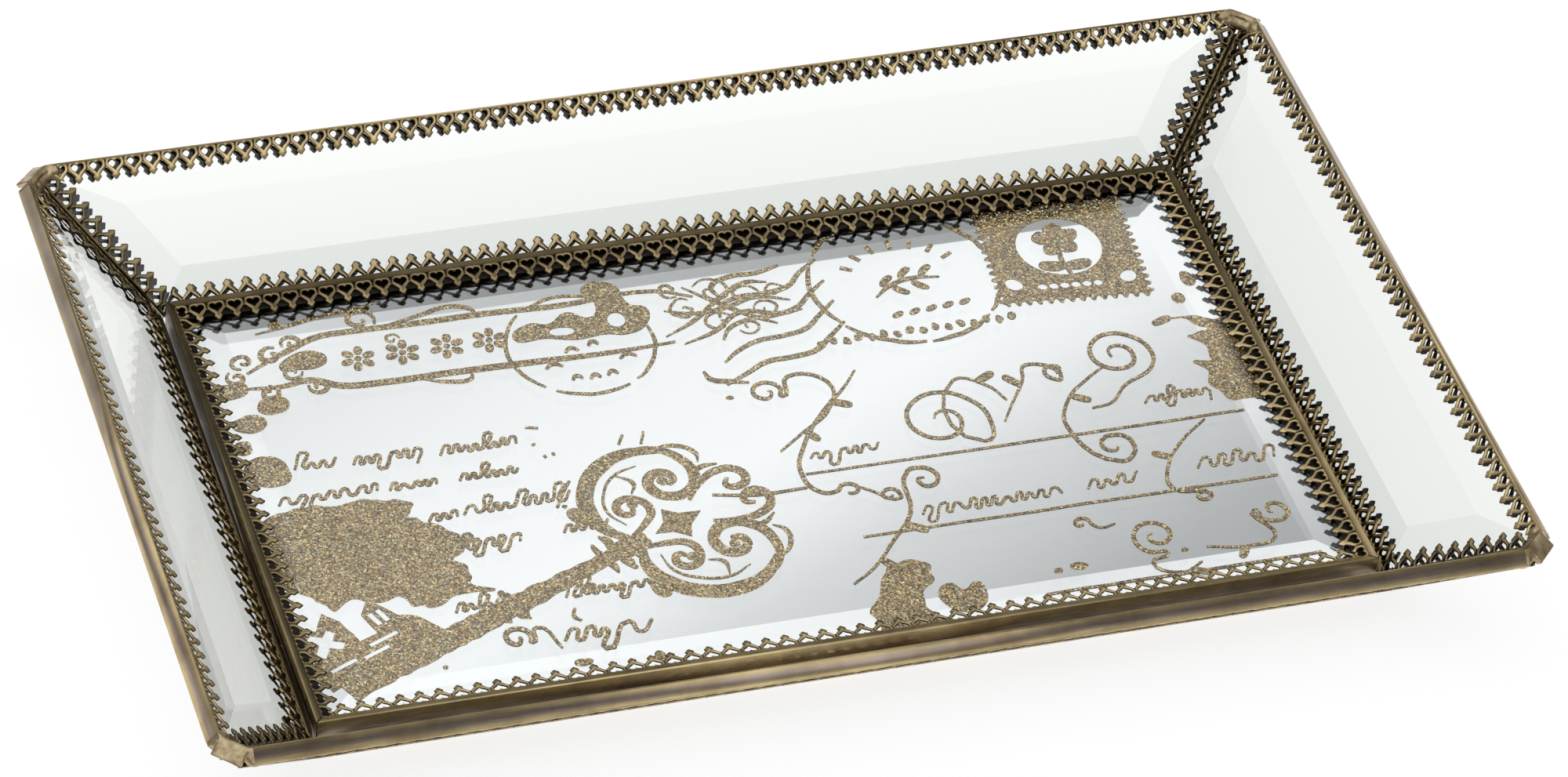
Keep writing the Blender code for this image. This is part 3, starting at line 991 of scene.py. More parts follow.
@dataclass
class SolderWork:
    """The flowed solder at the rim's corners, up the seams and under the walls."""

    finishes: Finishes
    voxel: float = 0.30
    seed: int = 7
    plug: tuple[float, float, float] = (3.2, 4.0, 4.6)
    knob: tuple[float, float, float] = (2.9, 2.1, 2.75)
    seam_short: Point = (5.5, 10.0)
    seam_drops: int = 34
    foot_short: float = 3.0
    bar: tuple[tuple[float, tuple[float, float, float]], ...] = (
        (0.3, (2.6, 1.9, 1.95)), (0.5, (2.8, 1.75, 1.85)), (0.72, (2.6, 1.9, 2.0)),
    )

    def blob(self, bm: bmesh.types.BMesh, centre: Vector, radii: tuple[float, float, float], turn: Matrix) -> None:
        """Adds a drop.

        Args:
            bm: the piece's bmesh.
            centre: the drop's middle.
            radii: its half sizes.
            turn: its turn.
        """
        place = Matrix.Translation(centre) @ turn.to_3x3().to_4x4() @ Matrix.Diagonal((*radii, 1))
        bmesh.ops.create_icosphere(bm, subdivisions=3, radius=1.0, matrix=place)

    def slab(self, bm: bmesh.types.BMesh, centre: Vector, sizes: tuple[float, float, float], turn: Matrix) -> None:
        """Adds a block, which melting rounds off.

        Args:
            bm: the piece's bmesh.
            centre: the block's middle.
            sizes: its sizes.
            turn: its turn.
        """
        place = Matrix.Translation(centre) @ turn.to_3x3().to_4x4() @ Matrix.Diagonal((*sizes, 1))
        bmesh.ops.create_cube(bm, size=1.0, matrix=place)

    def melt(self, piece: bpy.types.Object, flow: int) -> None:
        """Runs a piece's drops together into one skin.

        Args:
            piece: the piece.
            flow: how many times the skin is smoothed.
        """
        melted = piece.modifiers.new("melt", "REMESH")
        melted.mode = "VOXEL"
        melted.voxel_size = self.voxel * MM
        melted.use_smooth_shade = True
        flowed = piece.modifiers.new("flow", "SMOOTH")
        flowed.factor = 0.6
        flowed.iterations = flow

    def rim_corner(self, corner: str) -> bpy.types.Object:
        """Builds the cap at a rim corner: a drop on each channel's end, and a lower bar between them."""
        s = SIZES
        bm = bmesh.new()
        bm.from_mesh(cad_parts[f"rim_corner_solder_{corner}"].data)
        bmesh.ops.scale(bm, vec=(1 / MM,) * 3, verts=bm.verts)
        bmesh.ops.remove_doubles(bm, verts=bm.verts, dist=1e-3)
        knobs = []
        for name, end in zip(CORNERS[corner], (1, -1)):
            side = SIDES[name]
            place = side.wall()
            along = end * (side.wall_end(s.wall_height) - s.corner_cut)
            middle = place @ Vector((
                along - end * 0.3, s.wall_height - 0.08 - self.plug[1] / 2, -s.channel_width / 2
            ))
            self.slab(bm, middle, self.plug, place)
            self.blob(bm, middle, self.knob, place)
            knobs.append(middle)
        across = knobs[1] - knobs[0]
        flat = across.normalized()
        inward = UP.cross(flat).normalized()
        turn = Matrix((flat, inward, flat.cross(inward))).transposed()
        for share, radii in self.bar:
            self.blob(bm, knobs[0] + across * share - UP * 0.3, radii, turn)
        piece = finish_piece(f"corner_cap_{corner}", bm, Matrix(), [self.finishes.solder])
        self.melt(piece, 10)
        return register(piece, "brassed_solder", f"rim_corner_solder_{corner}")

    def seam_run(self, corner: str) -> bpy.types.Object:
        """Builds the wavy run of solder that fills the groove behind two seam channels."""
        s = SIZES
        rng = random.Random(self.seed + len(corner))
        places = [SIDES[n].seam(e) for n, e in zip(CORNERS[corner], (1, -1))]
        bm = bmesh.new()
        low = self.seam_short[0] - s.seam_length / 2
        high = s.seam_length / 2 - self.seam_short[1]
        for i in range(self.seam_drops):
            along = low + (high - low) * i / (self.seam_drops - 1)
            pair = [place @ Vector((end * along, -0.25, -3.1)) for place, end in zip(places, (1, -1))]
            middle = (pair[0] + pair[1]) / 2
            across = (pair[1] - pair[0]).length / 2 + 0.25
            lump = rng.uniform(0.96, 1.07)
            apart = pair[1] - pair[0]
            turn = Matrix.Rotation(atan2(apart.y, apart.x), 4, "Z")
            self.blob(bm, middle, (across * lump, 1.75 * lump, 1.9), turn)
        piece = finish_piece(f"seam_bead_{corner}", bm, Matrix(), [self.finishes.groove])
        self.melt(piece, 4)
        return register(piece, "brassed_solder", f"seam_solder_{corner}")

    def foot_run(self, side: Side) -> bpy.types.Object:
        """Builds the run of solder in the groove between the floor's frame and a foot channel."""
        s = SIZES
        rng = random.Random(self.seed + len(side.name))
        bm = bmesh.new()
        top = -s.channel_width
        section = ((0.35, top), (0.35, -8.0), (1.5, -7.95), (3.0, -7.25))
        face = bm.faces.new([bm.verts.new((self.foot_short - side.half, y, z)) for y, z in section])
        steps = int(side.half / 2)
        for _ in range(steps):
            grown = bmesh.ops.extrude_face_region(bm, geom=[face])
            face = next(item for item in grown["geom"] if isinstance(item, bmesh.types.BMFace))
            step = 2 * (side.half - self.foot_short) / steps
            bmesh.ops.translate(bm, verts=list(face.verts), vec=(step, 0, 0))
            swell = rng.uniform(-0.14, 0.14)
            for vert in list(face.verts)[1:]:
                vert.co.z = min(vert.co.z + swell * 0.5, top) if vert.co.z < -6 else vert.co.z
        place = Matrix.Rotation(side.turn, 4, "Z") @ Matrix.Translation((0, side.across, s.tip_z))
        piece = finish_piece(f"foot_bead_{side.name}", bm, place, [self.finishes.solder])
        return register(piece, "brassed_solder", f"foot_solder_{side.name}")

    def build(self) -> None:
        """Builds all the solder."""
        for corner in CORNERS:
            self.rim_corner(corner)
            self.seam_run(corner)
        for side in SIDES.values():
            self.foot_run(side)


# ----------------------------------------------------------------------------------------------------- picture


class Pen:
    """Draws flat strokes and filled outlines for one part of the picture, and makes them one thin sheet."""

    resolution = 5

    def __init__(self, level: float) -> None:
        """Starts a drawing.

        Args:
            level: the height that it lies at, in millimetres.
        """
        self.level = level
        self.strokes = bpy.data.curves.new("strokes", "CURVE")
        self.strokes.dimensions = "3D"
        self.strokes.twist_mode = "Z_UP"
        self.strokes.bevel_mode = "OBJECT"
        self.strokes.use_fill_caps = True
        self.fills: list[bpy.types.Curve] = []
        self.count = 0

    def rise(self) -> float:
        """The next shape's small rise, which keeps faces that overlap apart."""
        self.count += 1
        return 0.005 * (self.count % 14)

    def area(self) -> bpy.types.Curve:
        """Starts a filled shape."""
        made = bpy.data.curves.new("fill", "CURVE")
        made.dimensions = "2D"
        made.fill_mode = "BOTH"
        made.extrude = 0.03
        self.fills.append(made)
        return made

    def spline(self, curve: bpy.types.Curve, points: list[Point], widths: list[float] | None = None) -> None:
        """Adds a smooth line through points.

        Args:
            curve: the curve that gets it.
            points: the points.
            widths: a stroke's width at each point, or None for a closed outline.
        """
        low = self.rise() if widths else 0.0
        made = curve.splines.new("BEZIER")
        made.bezier_points.add(len(points) - 1)
        made.use_cyclic_u = widths is None
        made.resolution_u = self.resolution
        for i, (knot, (x, y)) in enumerate(zip(made.bezier_points, points)):
            knot.co = (x, y, low + 0.04 * i / len(points) if widths else 0)
            knot.handle_left_type = knot.handle_right_type = "AUTO"
            if widths:
                knot.radius = widths[i]

    def stroke(self, points: list[Point], width: float, taper: float = 0.35, middle: float = 1.0) -> None:
        """Draws a pen stroke that swells and thins.

        Args:
            points: the points that it passes through.
            width: its greatest width.
            taper: its width at each end, as a share.
            middle: where along it the greatest width holds, from 0 to 1 at both ends alike.
        """
        last = max(len(points) - 1, 1)
        widths = []
        for i in range(len(points)):
            edge = min(i, last - i) / (last / 2)
            widths.append(width * (taper + (1 - taper) * min(1.0, edge * 2 * middle)))
        self.spline(self.strokes, points, widths)

    def fill(self, *outlines: list[Point]) -> None:
        """Fills an outline, with any further outlines as its holes."""
        made = self.area()
        for points in outlines:
            self.spline(made, points)

    def corners(self, *outlines: list[Point]) -> None:
        """Fills an outline with sharp corners, with any further outlines as its holes."""
        curve = self.area()
        for points in outlines:
            made = curve.splines.new("POLY")
            made.points.add(len(points) - 1)
            made.use_cyclic_u = True
            for knot, (x, y) in zip(made.points, points):
                knot.co = (x, y, 0, 1)

    def sheet(self, name: str, material: bpy.types.Material) -> bpy.types.Object:
        """Makes the drawing one piece.

        Args:
            name: the piece's name.
            material: its finish.

        Returns:
            The piece.
        """
        nib = bpy.data.curves.new("nib", "CURVE")
        nib.dimensions = "2D"
        edge = nib.splines.new("POLY")
        edge.points.add(3)
        edge.use_cyclic_u = True
        for knot, (x, y) in zip(edge.points, ((-0.5, -0.02), (0.5, -0.02), (0.5, 0.02), (-0.5, 0.02))):
            knot.co = (x, y, 0, 1)
        nib_object = bpy.data.objects.new("nib", nib)
        self.strokes.bevel_object = nib_object
        scratch = [bpy.data.objects.new("scratch", data) for data in (self.strokes, *self.fills) if data.splines]
        for made in (nib_object, *scratch):
            bpy.context.scene.collection.objects.link(made)
        graph = bpy.context.evaluated_depsgraph_get()
        bm = bmesh.new()
        for made in scratch:
            flat = bpy.data.meshes.new_from_object(made.evaluated_get(graph))
            start = len(bm.verts)
            bm.from_mesh(flat)
            bpy.data.meshes.remove(flat)
            bm.verts.ensure_lookup_table()
            if made.data is not self.strokes:
                bmesh.ops.translate(bm, verts=bm.verts[start:], vec=(0, 0, self.rise()))
        for made in (nib_object, *scratch):
            bpy.data.objects.remove(made, do_unlink=True)
        bmesh.ops.remove_doubles(bm, verts=bm.verts, dist=1e-4)
        piece = finish_piece(name, bm, Matrix.Translation((0, 0, self.level)), [material])
        piece.data.shade_flat()
        return piece


@dataclass
class GlitterPicture:
    """The picture left clear in the silvering: a scrolled key among blots, a stamp, postmarks and pen scrolls."""

    finishes: Finishes
    level: float = 7.25
    layer: float = 0.013
    seed: int = 11

    def __post_init__(self) -> None:
        """Starts the hand's wobble."""
        self.rng = random.Random(self.seed)

    def gilt(self, pen: Pen, name: str) -> bpy.types.Object:
        """Lays one drawing down as a sheet of glitter."""
        return register(pen.sheet(name, self.finishes.glitter), "gold_glitter")

    def wobble(self, points: list[Point], amount: float) -> list[Point]:
        """Moves points a little, as an uneven print does."""
        return [(x + self.rng.uniform(-amount, amount), y + self.rng.uniform(-amount, amount)) for x, y in points]

    def blot(self, centre: Point, radii: Point, knots: int, rough: float) -> list[Point]:
        """An uneven round outline.

        Args:
            centre: its middle.
            radii: its half sizes.
            knots: how many points it has.
            rough: how uneven it is, as a share of its size.

        Returns:
            The outline.
        """
        found = []
        for i in range(knots):
            angle = 2 * pi * i / knots
            reach = 1 + self.rng.uniform(-rough, rough)
            found.append((centre[0] + radii[0] * reach * cos(angle), centre[1] + radii[1] * reach * sin(angle)))
        return found

    @staticmethod
    def spiral(centre: Point, radii: Point, start: float, sweep: float, steps: int) -> list[Point]:
        """Points along a spiral.

        Args:
            centre: its middle.
            radii: its radius at the start and at the end.
            start: the angle that it starts at, in degrees.
            sweep: how far it turns, in degrees.
            steps: how many points it has.

        Returns:
            The points.
        """
        found = []
        for i in range(steps):
            share = i / (steps - 1)
            radius = radii[0] + (radii[1] - radii[0]) * share
            angle = radians(start + sweep * share)
            found.append((centre[0] + radius * cos(angle), centre[1] + radius * sin(angle)))
        return found

    def ripple(self, start: Point, length: float, height: float, slant: float = 0.5) -> list[Point]:
        """A rippled pen line of uneven height.

        Args:
            start: where it starts.
            length: how long it is.
            height: about how high its ripples are.
            slant: how much it leans.

        Returns:
            The points.
        """
        found, x, up = [], 0.0, False
        while x < length:
            pick = self.rng.random()
            top = height * (self.rng.uniform(1.7, 2.2) if pick < 0.10 else self.rng.uniform(0.6, 1.05))
            foot = height * (self.rng.uniform(-1.1, -0.7) if pick > 0.93 else self.rng.uniform(-0.05, 0.2))
            y = top if up else foot
            found.append((start[0] + x + slant * y, start[1] + y))
            x += height * (self.rng.uniform(0.34, 0.52) if pick < 0.86 else self.rng.uniform(0.7, 0.95))
            up = not up
        return found

    def curl(
        self, pen: Pen, centre: Point, radii: Point, start: float, sweep: float, tail: list[Point], width: float
    ) -> None:
        """Draws a scroll that runs out into a tail.

        Args:
            pen: the pen.
            centre: the scroll's middle.
            radii: its radius at its eye and at its rim.
            start: the angle that its eye starts at, in degrees.
            sweep: how far it turns, in degrees.
            tail: where it runs on to.
            width: its greatest width.
        """
        steps = max(6, int(abs(sweep) / 38))
        pen.stroke(self.wobble(self.spiral(centre, radii, start, sweep, steps) + tail, 0.2), width, 0.5)

    def leaf(self, pen: Pen, root: Point, tip: Point, wide: float) -> None:
        """Draws a pointed leaf.

        Args:
            pen: the pen.
            root: where it starts.
            tip: where it ends.
            wide: half its width.
        """
        (x, y), (u, v) = root, tip
        long = sqrt((u - x) ** 2 + (v - y) ** 2)
        side = (-(v - y) / long * wide, (u - x) / long * wide)
        middle = (x * 0.55 + u * 0.45, y * 0.55 + v * 0.45)
        pen.fill([root, (middle[0] + side[0], middle[1] + side[1]), tip, (middle[0] - side[0], middle[1] - side[1])])

    def torn(self, points: list[Point], step: float, depth: float) -> list[Point]:
        """An outline broken into short uneven steps, as ink leaves on a rough sheet.

        Args:
            points: the outline's corners.
            step: about how long each step is.
            depth: how far a step may stray.

        Returns:
            The outline.
        """
        found = []
        for (x, y), (u, v) in zip(points, points[1:] + points[:1]):
            count = max(1, round(sqrt((u - x) ** 2 + (v - y) ** 2) / step))
            for i in range(count):
                stray = self.rng.uniform(-depth, depth)
                lift = self.rng.uniform(-depth, depth)
                found.append((x + (u - x) * i / count + stray, y + (v - y) * i / count + lift))
        return found

    def key(self) -> bpy.types.Object:
        """Draws the key: a bow of paired scrolls, a worn shaft with collars and a slotted bit."""
        pen = Pen(self.level)
        turn = radians(23.5)

        def place(u: float, v: float) -> Point:
            """From the key's own axes to the tray."""
            return (-31 + u * cos(turn) - v * sin(turn), -26 + u * sin(turn) + v * cos(turn))

        def put(points: list[Point], hand: int = 1) -> list[Point]:
            """The same for a list, on either side of the shaft."""
            return [place(u, v * hand) for u, v in points]

        for hand in (1, -1):
            pen.stroke(put([
                (-15, 2), (-18.5, 8), (-18, 17), (-12.5, 25), (-4, 29.5), (5, 29.5), (13, 25),
            ], hand), 4.8, 0.35, 0.9)
            volute = [(2, 30), (11, 27.5), (15.5, 20), (14.5, 12), (9.5, 8), (4, 9), (1.5, 13.5), (3.5, 18), (8, 18)]
            pen.stroke(put([*volute, (9, 14.2), (6.4, 13)], hand), 3.3, 0.45, 0.9)
            pen.stroke(put([(-13, 7), (-14, 14), (-10, 20.5), (-3, 24.5), (4, 24)], hand), 0.9)
            pen.stroke(put([
                (7, 5), (13, 8.5), (20, 10), (25, 7.5), (25, 2.8), (21.5, 1.6), (19, 4), (21, 6),
            ], hand), 2.6, 0.4)
            hook = [(-15, 2.5), (-9, 4.5), (-4, 8), (-4.5, 13.5), (-9, 15.5), (-11.4, 12), (-9, 9.8), (-7.4, 11.5)]
            pen.stroke(put(hook, hand), 2.5, 0.5)
            pen.stroke(put([(-3, 24), (-1, 19), (-4, 16)], hand), 1.5, 0.3)
            pen.stroke(put([(11, 27), (17.5, 24.5), (20.5, 19), (18.8, 15.5)], hand), 1.5, 0.3)
            pen.stroke(put([(14, 12.5), (18, 13.5), (22.5, 12)], hand), 1.8, 0.3)
            pen.fill(put([(-20, 13), (-23.5, 16), (-22, 21), (-18.5, 18)], hand))
            pen.fill(self.blot(place(-6.6, 12.6 * hand), (1.5, 1.5), 8, 0.1))
            pen.fill(self.blot(place(6, 15.2 * hand), (1.6, 1.6), 8, 0.1))
        pen.corners(put([
            (-9, 0), (-4.4, 2.2), (-1.6, 6.6), (1.2, 2.8), (6.8, 0), (1.2, -2.8), (-1.6, -6.6), (-4.4, -2.2),
        ]))
        shaft = [
            (-12, 2.2), (-20, 3.4), (-23, 2.3), (-34, 2.6), (-40, 3.0), (-52, 3.4), (-60, 3.3), (-74, 4.0),
            (-88, 4.1), (-112, 3.6),
        ]
        pen.fill(put(self.torn(shaft + [(u, -v) for u, v in reversed(shaft)], 2.4, 0.35)))
        for u, reach, wide in (
            (-17.5, 6.8, 1.5), (-21.5, 8.8, 1.7), (-26.0, 6.4, 1.3), (-57.0, 6.6, 2.2), (-62.0, 5.2, 1.6),
        ):
            pen.fill(put(self.torn(self.blot((u, 0), (wide, reach), 10, 0.12), 1.6, 0.2)))
        bit = [
            (-115, 2), (-115, 25), (-110, 28), (-105, 23), (-100, 27), (-98, 22), (-98, 13), (-92.5, 13),
            (-92, 21), (-87, 25), (-84, 15), (-80, 12), (-77, 2),
        ]
        cross = [
            (-111, 15), (-107.5, 18), (-110, 21), (-107, 22.5), (-105, 20), (-102.5, 21.5), (-101.4, 19.4),
            (-103.6, 17.4), (-101.6, 14.8), (-103.6, 13.2), (-106, 15.6), (-109, 13),
        ]
        slots = [[(u, 15), (u + 1.5, 15), (u + 1.5, 20), (u, 20)] for u in (-90.6, -88)]
        rules = ((-111, 7.5, 8), (-101, 6.6, 8), (-97, 9.6, 9))
        bars = [[(u, v), (u + long, v), (u + long, v + 1.3), (u, v + 1.3)] for u, v, long in rules]
        pen.corners(put(self.torn(bit, 2.6, 0.3)), *[put(outline) for outline in (cross, *slots, *bars)])
        return self.gilt(pen, "glitter_key")

    def blots(self) -> bpy.types.Object:
        """Draws the splashes: the large one on the left, those on the edges and the small drops."""
        pen = Pen(self.level)
        pen.fill(self.torn([
            (-143, -4), (-137, -1), (-128, 0.5), (-119, -0.5), (-112, 0), (-104, -2), (-99, -4), (-102, -9),
            (-96, -13), (-91, -18), (-87, -21), (-91, -25), (-94, -28), (-91, -31), (-92, -38), (-86, -42),
            (-93, -41), (-98, -42), (-103, -45), (-109, -43), (-112, -39), (-119, -40), (-124, -37),
            (-130, -41), (-134, -34), (-139, -30), (-143, -26),
        ], 2.2, 0.45))
        pen.fill(self.torn([
            (143, -12), (137, -11), (131, -11), (129, -7), (127, -3), (129, 2), (126, 7), (131, 6), (132, 12),
            (128, 17), (134, 19), (130, 24), (124, 26), (133, 25), (138, 23), (143, 25),
        ], 2.4, 0.3))
        pen.fill(self.torn([
            (9, -79), (8, -71), (12, -66), (14, -60), (18, -55), (24, -54), (29, -57), (28, -63), (24, -67),
            (23, -72), (27, -79),
        ], 3.0, 0.4))
        pen.fill(self.wobble([
            (28, -71), (28, -67), (32, -65), (35, -68), (39, -66), (41, -70), (38, -75), (33, -76),
        ], 0.4))
        for centre, radii in (
            ((-134, 36), (4.6, 3.6)), ((-126, 42), (4.4, 3.6)), ((-134, 16), (6.4, 6.0)), ((-138, 27), (2.6, 3.0)),
            ((-136, 50), (5.4, 3.2)), ((62, -66.5), (1.3, 1.0)), ((68, -66), (2.4, 1.4)), ((-60, -14), (0.7, 0.7)),
            ((136, 41), (2.2, 3.0)), ((131, 33), (2.0, 2.4)), ((-107, -67.5), (0.8, 0.7)), ((-4, 19), (1.2, 0.8)),
            ((98, -66), (1.1, 0.8)), ((-71, -73), (2.6, 1.3)), ((-51, -75), (1.6, 1.8)), ((-118, 74), (1.8, 1.2)),
        ):
            pen.fill(self.blot(centre, radii, 9, 0.12))
        return self.gilt(pen, "glitter_blots")

    def banner(self) -> bpy.types.Object:
        """Draws the scrolled banner at the back left, with a row of rosettes in it, and the ring over its end."""
        pen = Pen(self.level)
        pen.stroke([
            (-130, 56), (-123, 60), (-117, 63), (-108, 67), (-98, 67.4), (-80, 67), (-60, 67), (-40, 66),
            (-12, 66.5), (-2, 62),
        ], 2.2, 0.4)
        pen.stroke([
            (-132, 50), (-122, 49), (-114, 50), (-106, 46), (-95, 45), (-75, 45), (-55, 44.6), (-30, 44),
            (-12, 44.6),
        ], 2.4, 0.4)
        pen.stroke([(-88, 68), (-78, 70), (-70, 72), (-64, 70), (-62.5, 67.5)], 1.6)
        pen.stroke([(-84, 44), (-77, 41.5), (-71, 41.5), (-70, 44)], 1.5)
        pen.stroke([(-124, 71.5), (-115, 73), (-105, 75), (-96, 76), (-87, 78)], 1.2, 0.5)
        for centre, radii, start, sweep, width in (
            ((-115, 66), (3.2, 0.6), 200, -420, 1.5), ((-122, 62), (3.6, 0.8), 60, 380, 1.8),
            ((-130, 61), (3.4, 0.6), 250, -400, 1.4), ((-133, 55), (3.0, 0.6), 120, 400, 1.3),
            ((-112, 47), (3.0, 0.6), 160, 430, 1.5), ((-95, 71.5), (4.6, 1.2), 330, 400, 1.6),
            ((-118, 54), (3.0, 0.8), 0, -380, 1.2), ((-126, 47), (3.2, 0.6), 80, -400, 1.5),
            ((-88, 62), (2.2, 0.6), 0, 360, 0.9),
        ):
            pen.stroke(self.wobble(self.spiral(centre, radii, start, sweep, 12), 0.15), width, 0.5)
        pen.fill(self.wobble([(-121, 56), (-117, 61), (-110, 61.5), (-107, 58), (-110, 55), (-116, 54.5)], 0.4))
        for x in (-99, -86.5, -74, -62):
            for i in range(6):
                angle = pi / 3 * i + 0.3
                tip = (x + 5.1 * cos(angle), 56 + 5.1 * sin(angle))
                root = (x + 1.5 * cos(angle), 56 + 1.5 * sin(angle))
                side = (-sin(angle) * 1.25, cos(angle) * 1.25)
                mid = (x + 3.6 * cos(angle), 56 + 3.6 * sin(angle))
                pen.fill([root, (mid[0] + side[0], mid[1] + side[1]), tip, (mid[0] - side[0], mid[1] - side[1])])
            pen.fill(self.blot((x, 56), (1.0, 1.0), 8, 0.1))
        ring = (-38, 49)
        for start, sweep in ((20, 105), (132, 96), (236, 60), (305, 66)):
            pen.stroke(self.wobble(self.spiral(ring, (20.6, 20.6), start, sweep, 10), 0.2), 1.25, 0.6)
        pen.fill(self.wobble([
            (-56, 55), (-50, 61), (-44, 59), (-38, 63), (-33, 60), (-29, 66), (-32, 72), (-22, 72), (-20, 63),
            (-16, 60), (-18, 53), (-24, 50), (-31, 52), (-38, 50.5), (-46, 53),
        ], 0.8), [(-45, 55.5), (-41, 57), (-38, 55), (-42, 53.6)], [(-28, 57), (-25, 60), (-23, 56.5), (-26, 54)])
        for x, y, length in (
            (-50, 41, 5), (-43, 46.5, 4), (-29, 41, 5), (-44, 35, 3), (-39, 34.5, 3), (-34, 35, 3),
            (-36, 48, 3),
        ):
            pen.stroke([(x, y), (x + length * 0.5, y + 1.6), (x + length, y + 0.2)], 1.5, 0.6)
        return self.gilt(pen, "glitter_banner")

    def flourish(self) -> bpy.types.Object:
        """Draws the tangle of tendrils between the banner and the ring, and the waved lines that run into it."""
        pen = Pen(self.level)
        for centre, radii, start, sweep, width in (
            ((4, 63), (6, 1.2), 150, -420, 1.0), ((12, 60), (5, 0.8), 320, 400, 0.9),
            ((-6, 57), (5, 1.0), 60, 400, 1.0), ((17, 53), (4, 0.8), 180, -400, 0.9),
            ((2, 50), (5, 1.0), 20, 380, 1.0), ((21, 60), (3.4, 0.6), 0, 380, 0.8),
            ((10, 47), (3.6, 0.7), 200, 400, 0.8), ((-8, 66), (3.4, 0.6), 300, -380, 1.0),
        ):
            pen.stroke(self.wobble(self.spiral(centre, radii, start, sweep, 13), 0.3), width, 0.5)
        for points in (
            [(-12, 58), (-3, 55), (6, 56), (15, 58), (24, 55)], [(-14, 47), (-4, 52), (5, 60), (14, 65), (20, 64)],
            [(-10, 43), (0, 47), (9, 53), (20, 50), (26, 51)], [(-4, 66), (4, 58), (12, 50), (18, 46)],
        ):
            pen.stroke(self.wobble(points, 0.4), 1.5, 0.3)
        for lift in range(5):
            y = 24 + 9.2 * lift
            line = [
                (-3 + 2 * lift, y), (4, y + 4.2), (10, y + 7.2), (18, y + 7.6), (25, y + 9.2), (30, y + 14),
                (36, y + 19),
            ]
            pen.stroke(self.wobble(line[: 7 if lift < 4 else 5], 0.3), 1.7, 0.5)
        pen.stroke([(-8, 31), (-7, 27.5), (-2, 25.5), (3, 24)], 1.8, 0.4)
        return self.gilt(pen, "glitter_flourish")

    def postmark(self) -> bpy.types.Object:
        """Draws the large broken ring, with a sprig and plain dashes where a mark would have its words."""
        pen = Pen(self.level)
        centre = (58, 57)
        for start, sweep in ((8, 42), (58, 50), (116, 30), (150, 62), (216, 50), (270, 44), (318, 34)):
            pen.stroke(self.wobble(self.spiral(centre, (27, 27), start, sweep, 8), 0.25), 1.5, 0.5)
        for i in range(7):
            angle = radians(150 - 20 * i)
            x, y = centre[0] + 17 * cos(angle), centre[1] + 15 * sin(angle)
            reach, rise = 1.8 * cos(angle), 1.8 * sin(angle)
            pen.stroke([(x - reach, y - rise), (x + reach, y + rise)], 1.6, 0.8)
        pen.stroke([(48, 51), (53, 55), (60, 57), (68, 56)], 1.6, 0.4)
        for x, y, lean in ((52, 56.5, 1), (55, 53.5, -1), (58, 59, 1), (61, 54.5, -1), (64, 58.8, 1)):
            pen.fill([(x - 1.2, y - 1.4 * lean), (x + 1.2, y), (x + 2.8, y + 2.6 * lean), (x - 0.2, y + 1.8 * lean)])
        for i in range(5):
            self.leaf(pen, (50 + 5 * i, 42 + 0.4 * i), (53.4 + 5 * i, 43.6 + 0.4 * i), 1.0)
        for i in range(16):
            pen.fill(self.blot((27 + 3.7 * i, 35 + 0.8 * (i % 2)), (1.15, 1.5), 7, 0.2))
        return self.gilt(pen, "glitter_postmark")

    def stamp(self) -> bpy.types.Object:
        """Draws the stamp: scalloped edges, a clear round window with a flower in it and a row of clear bars."""
        pen = Pen(self.level)
        lean = radians(-5.0)

        def place(x: float, y: float) -> Point:
            """From the stamp's own axes to the tray."""
            return (105 + x * cos(lean) - y * sin(lean), 60 + x * sin(lean) + y * cos(lean))

        def put(shape: list[Point]) -> list[Point]:
            """The same for a list."""
            return [place(*p) for p in shape]

        half, teeth = 21.5, 14
        edge = []
        for side in range(4):
            for i in range(teeth):
                for share, out in ((0.0, -0.9), (0.5, 0.9)):
                    along = -half + 2 * half * (i + share) / teeth
                    x, y = along, half + out
                    for _ in range(side):
                        x, y = y, -x
                    edge.append(place(x, y))
        window = put(self.spiral((0, 1.5), (12.2, 12.2), 0, -345.6, 25))
        bars = [[(x, -16), (x + 1.9, -16), (x + 1.9, -14.3), (x, -14.3)] for x in (-9.6, -6.4, -3.2, 0.0, 3.2, 6.4)]
        leaves = [[(s * 14, -14), (s * 18, -11), (s * 17.4, -15.5)] for s in (1, -1)]
        pen.fill(edge, window, *[put(shape) for shape in (*bars, *leaves)])
        for i in range(5):
            angle = 2 * pi * i / 5 + 0.4
            petal = self.blot((4.3 * cos(angle), 4.6 + 4.3 * sin(angle)), (2.7, 2.7), 8, 0.12)
            pen.fill(put(petal))
        pen.fill(put(self.blot((0, 4.6), (1.9, 1.9), 8, 0.08)))
        pen.stroke(put([(0, 1), (-0.6, -4), (0.8, -10.5)]), 1.6, 0.7)
        for hand in (1, -1):
            pen.fill(put([(0, -7), (hand * 4, -4.6), (hand * 7.6, -5.6), (hand * 5, -8.6)]))
        return self.gilt(pen, "glitter_stamp")

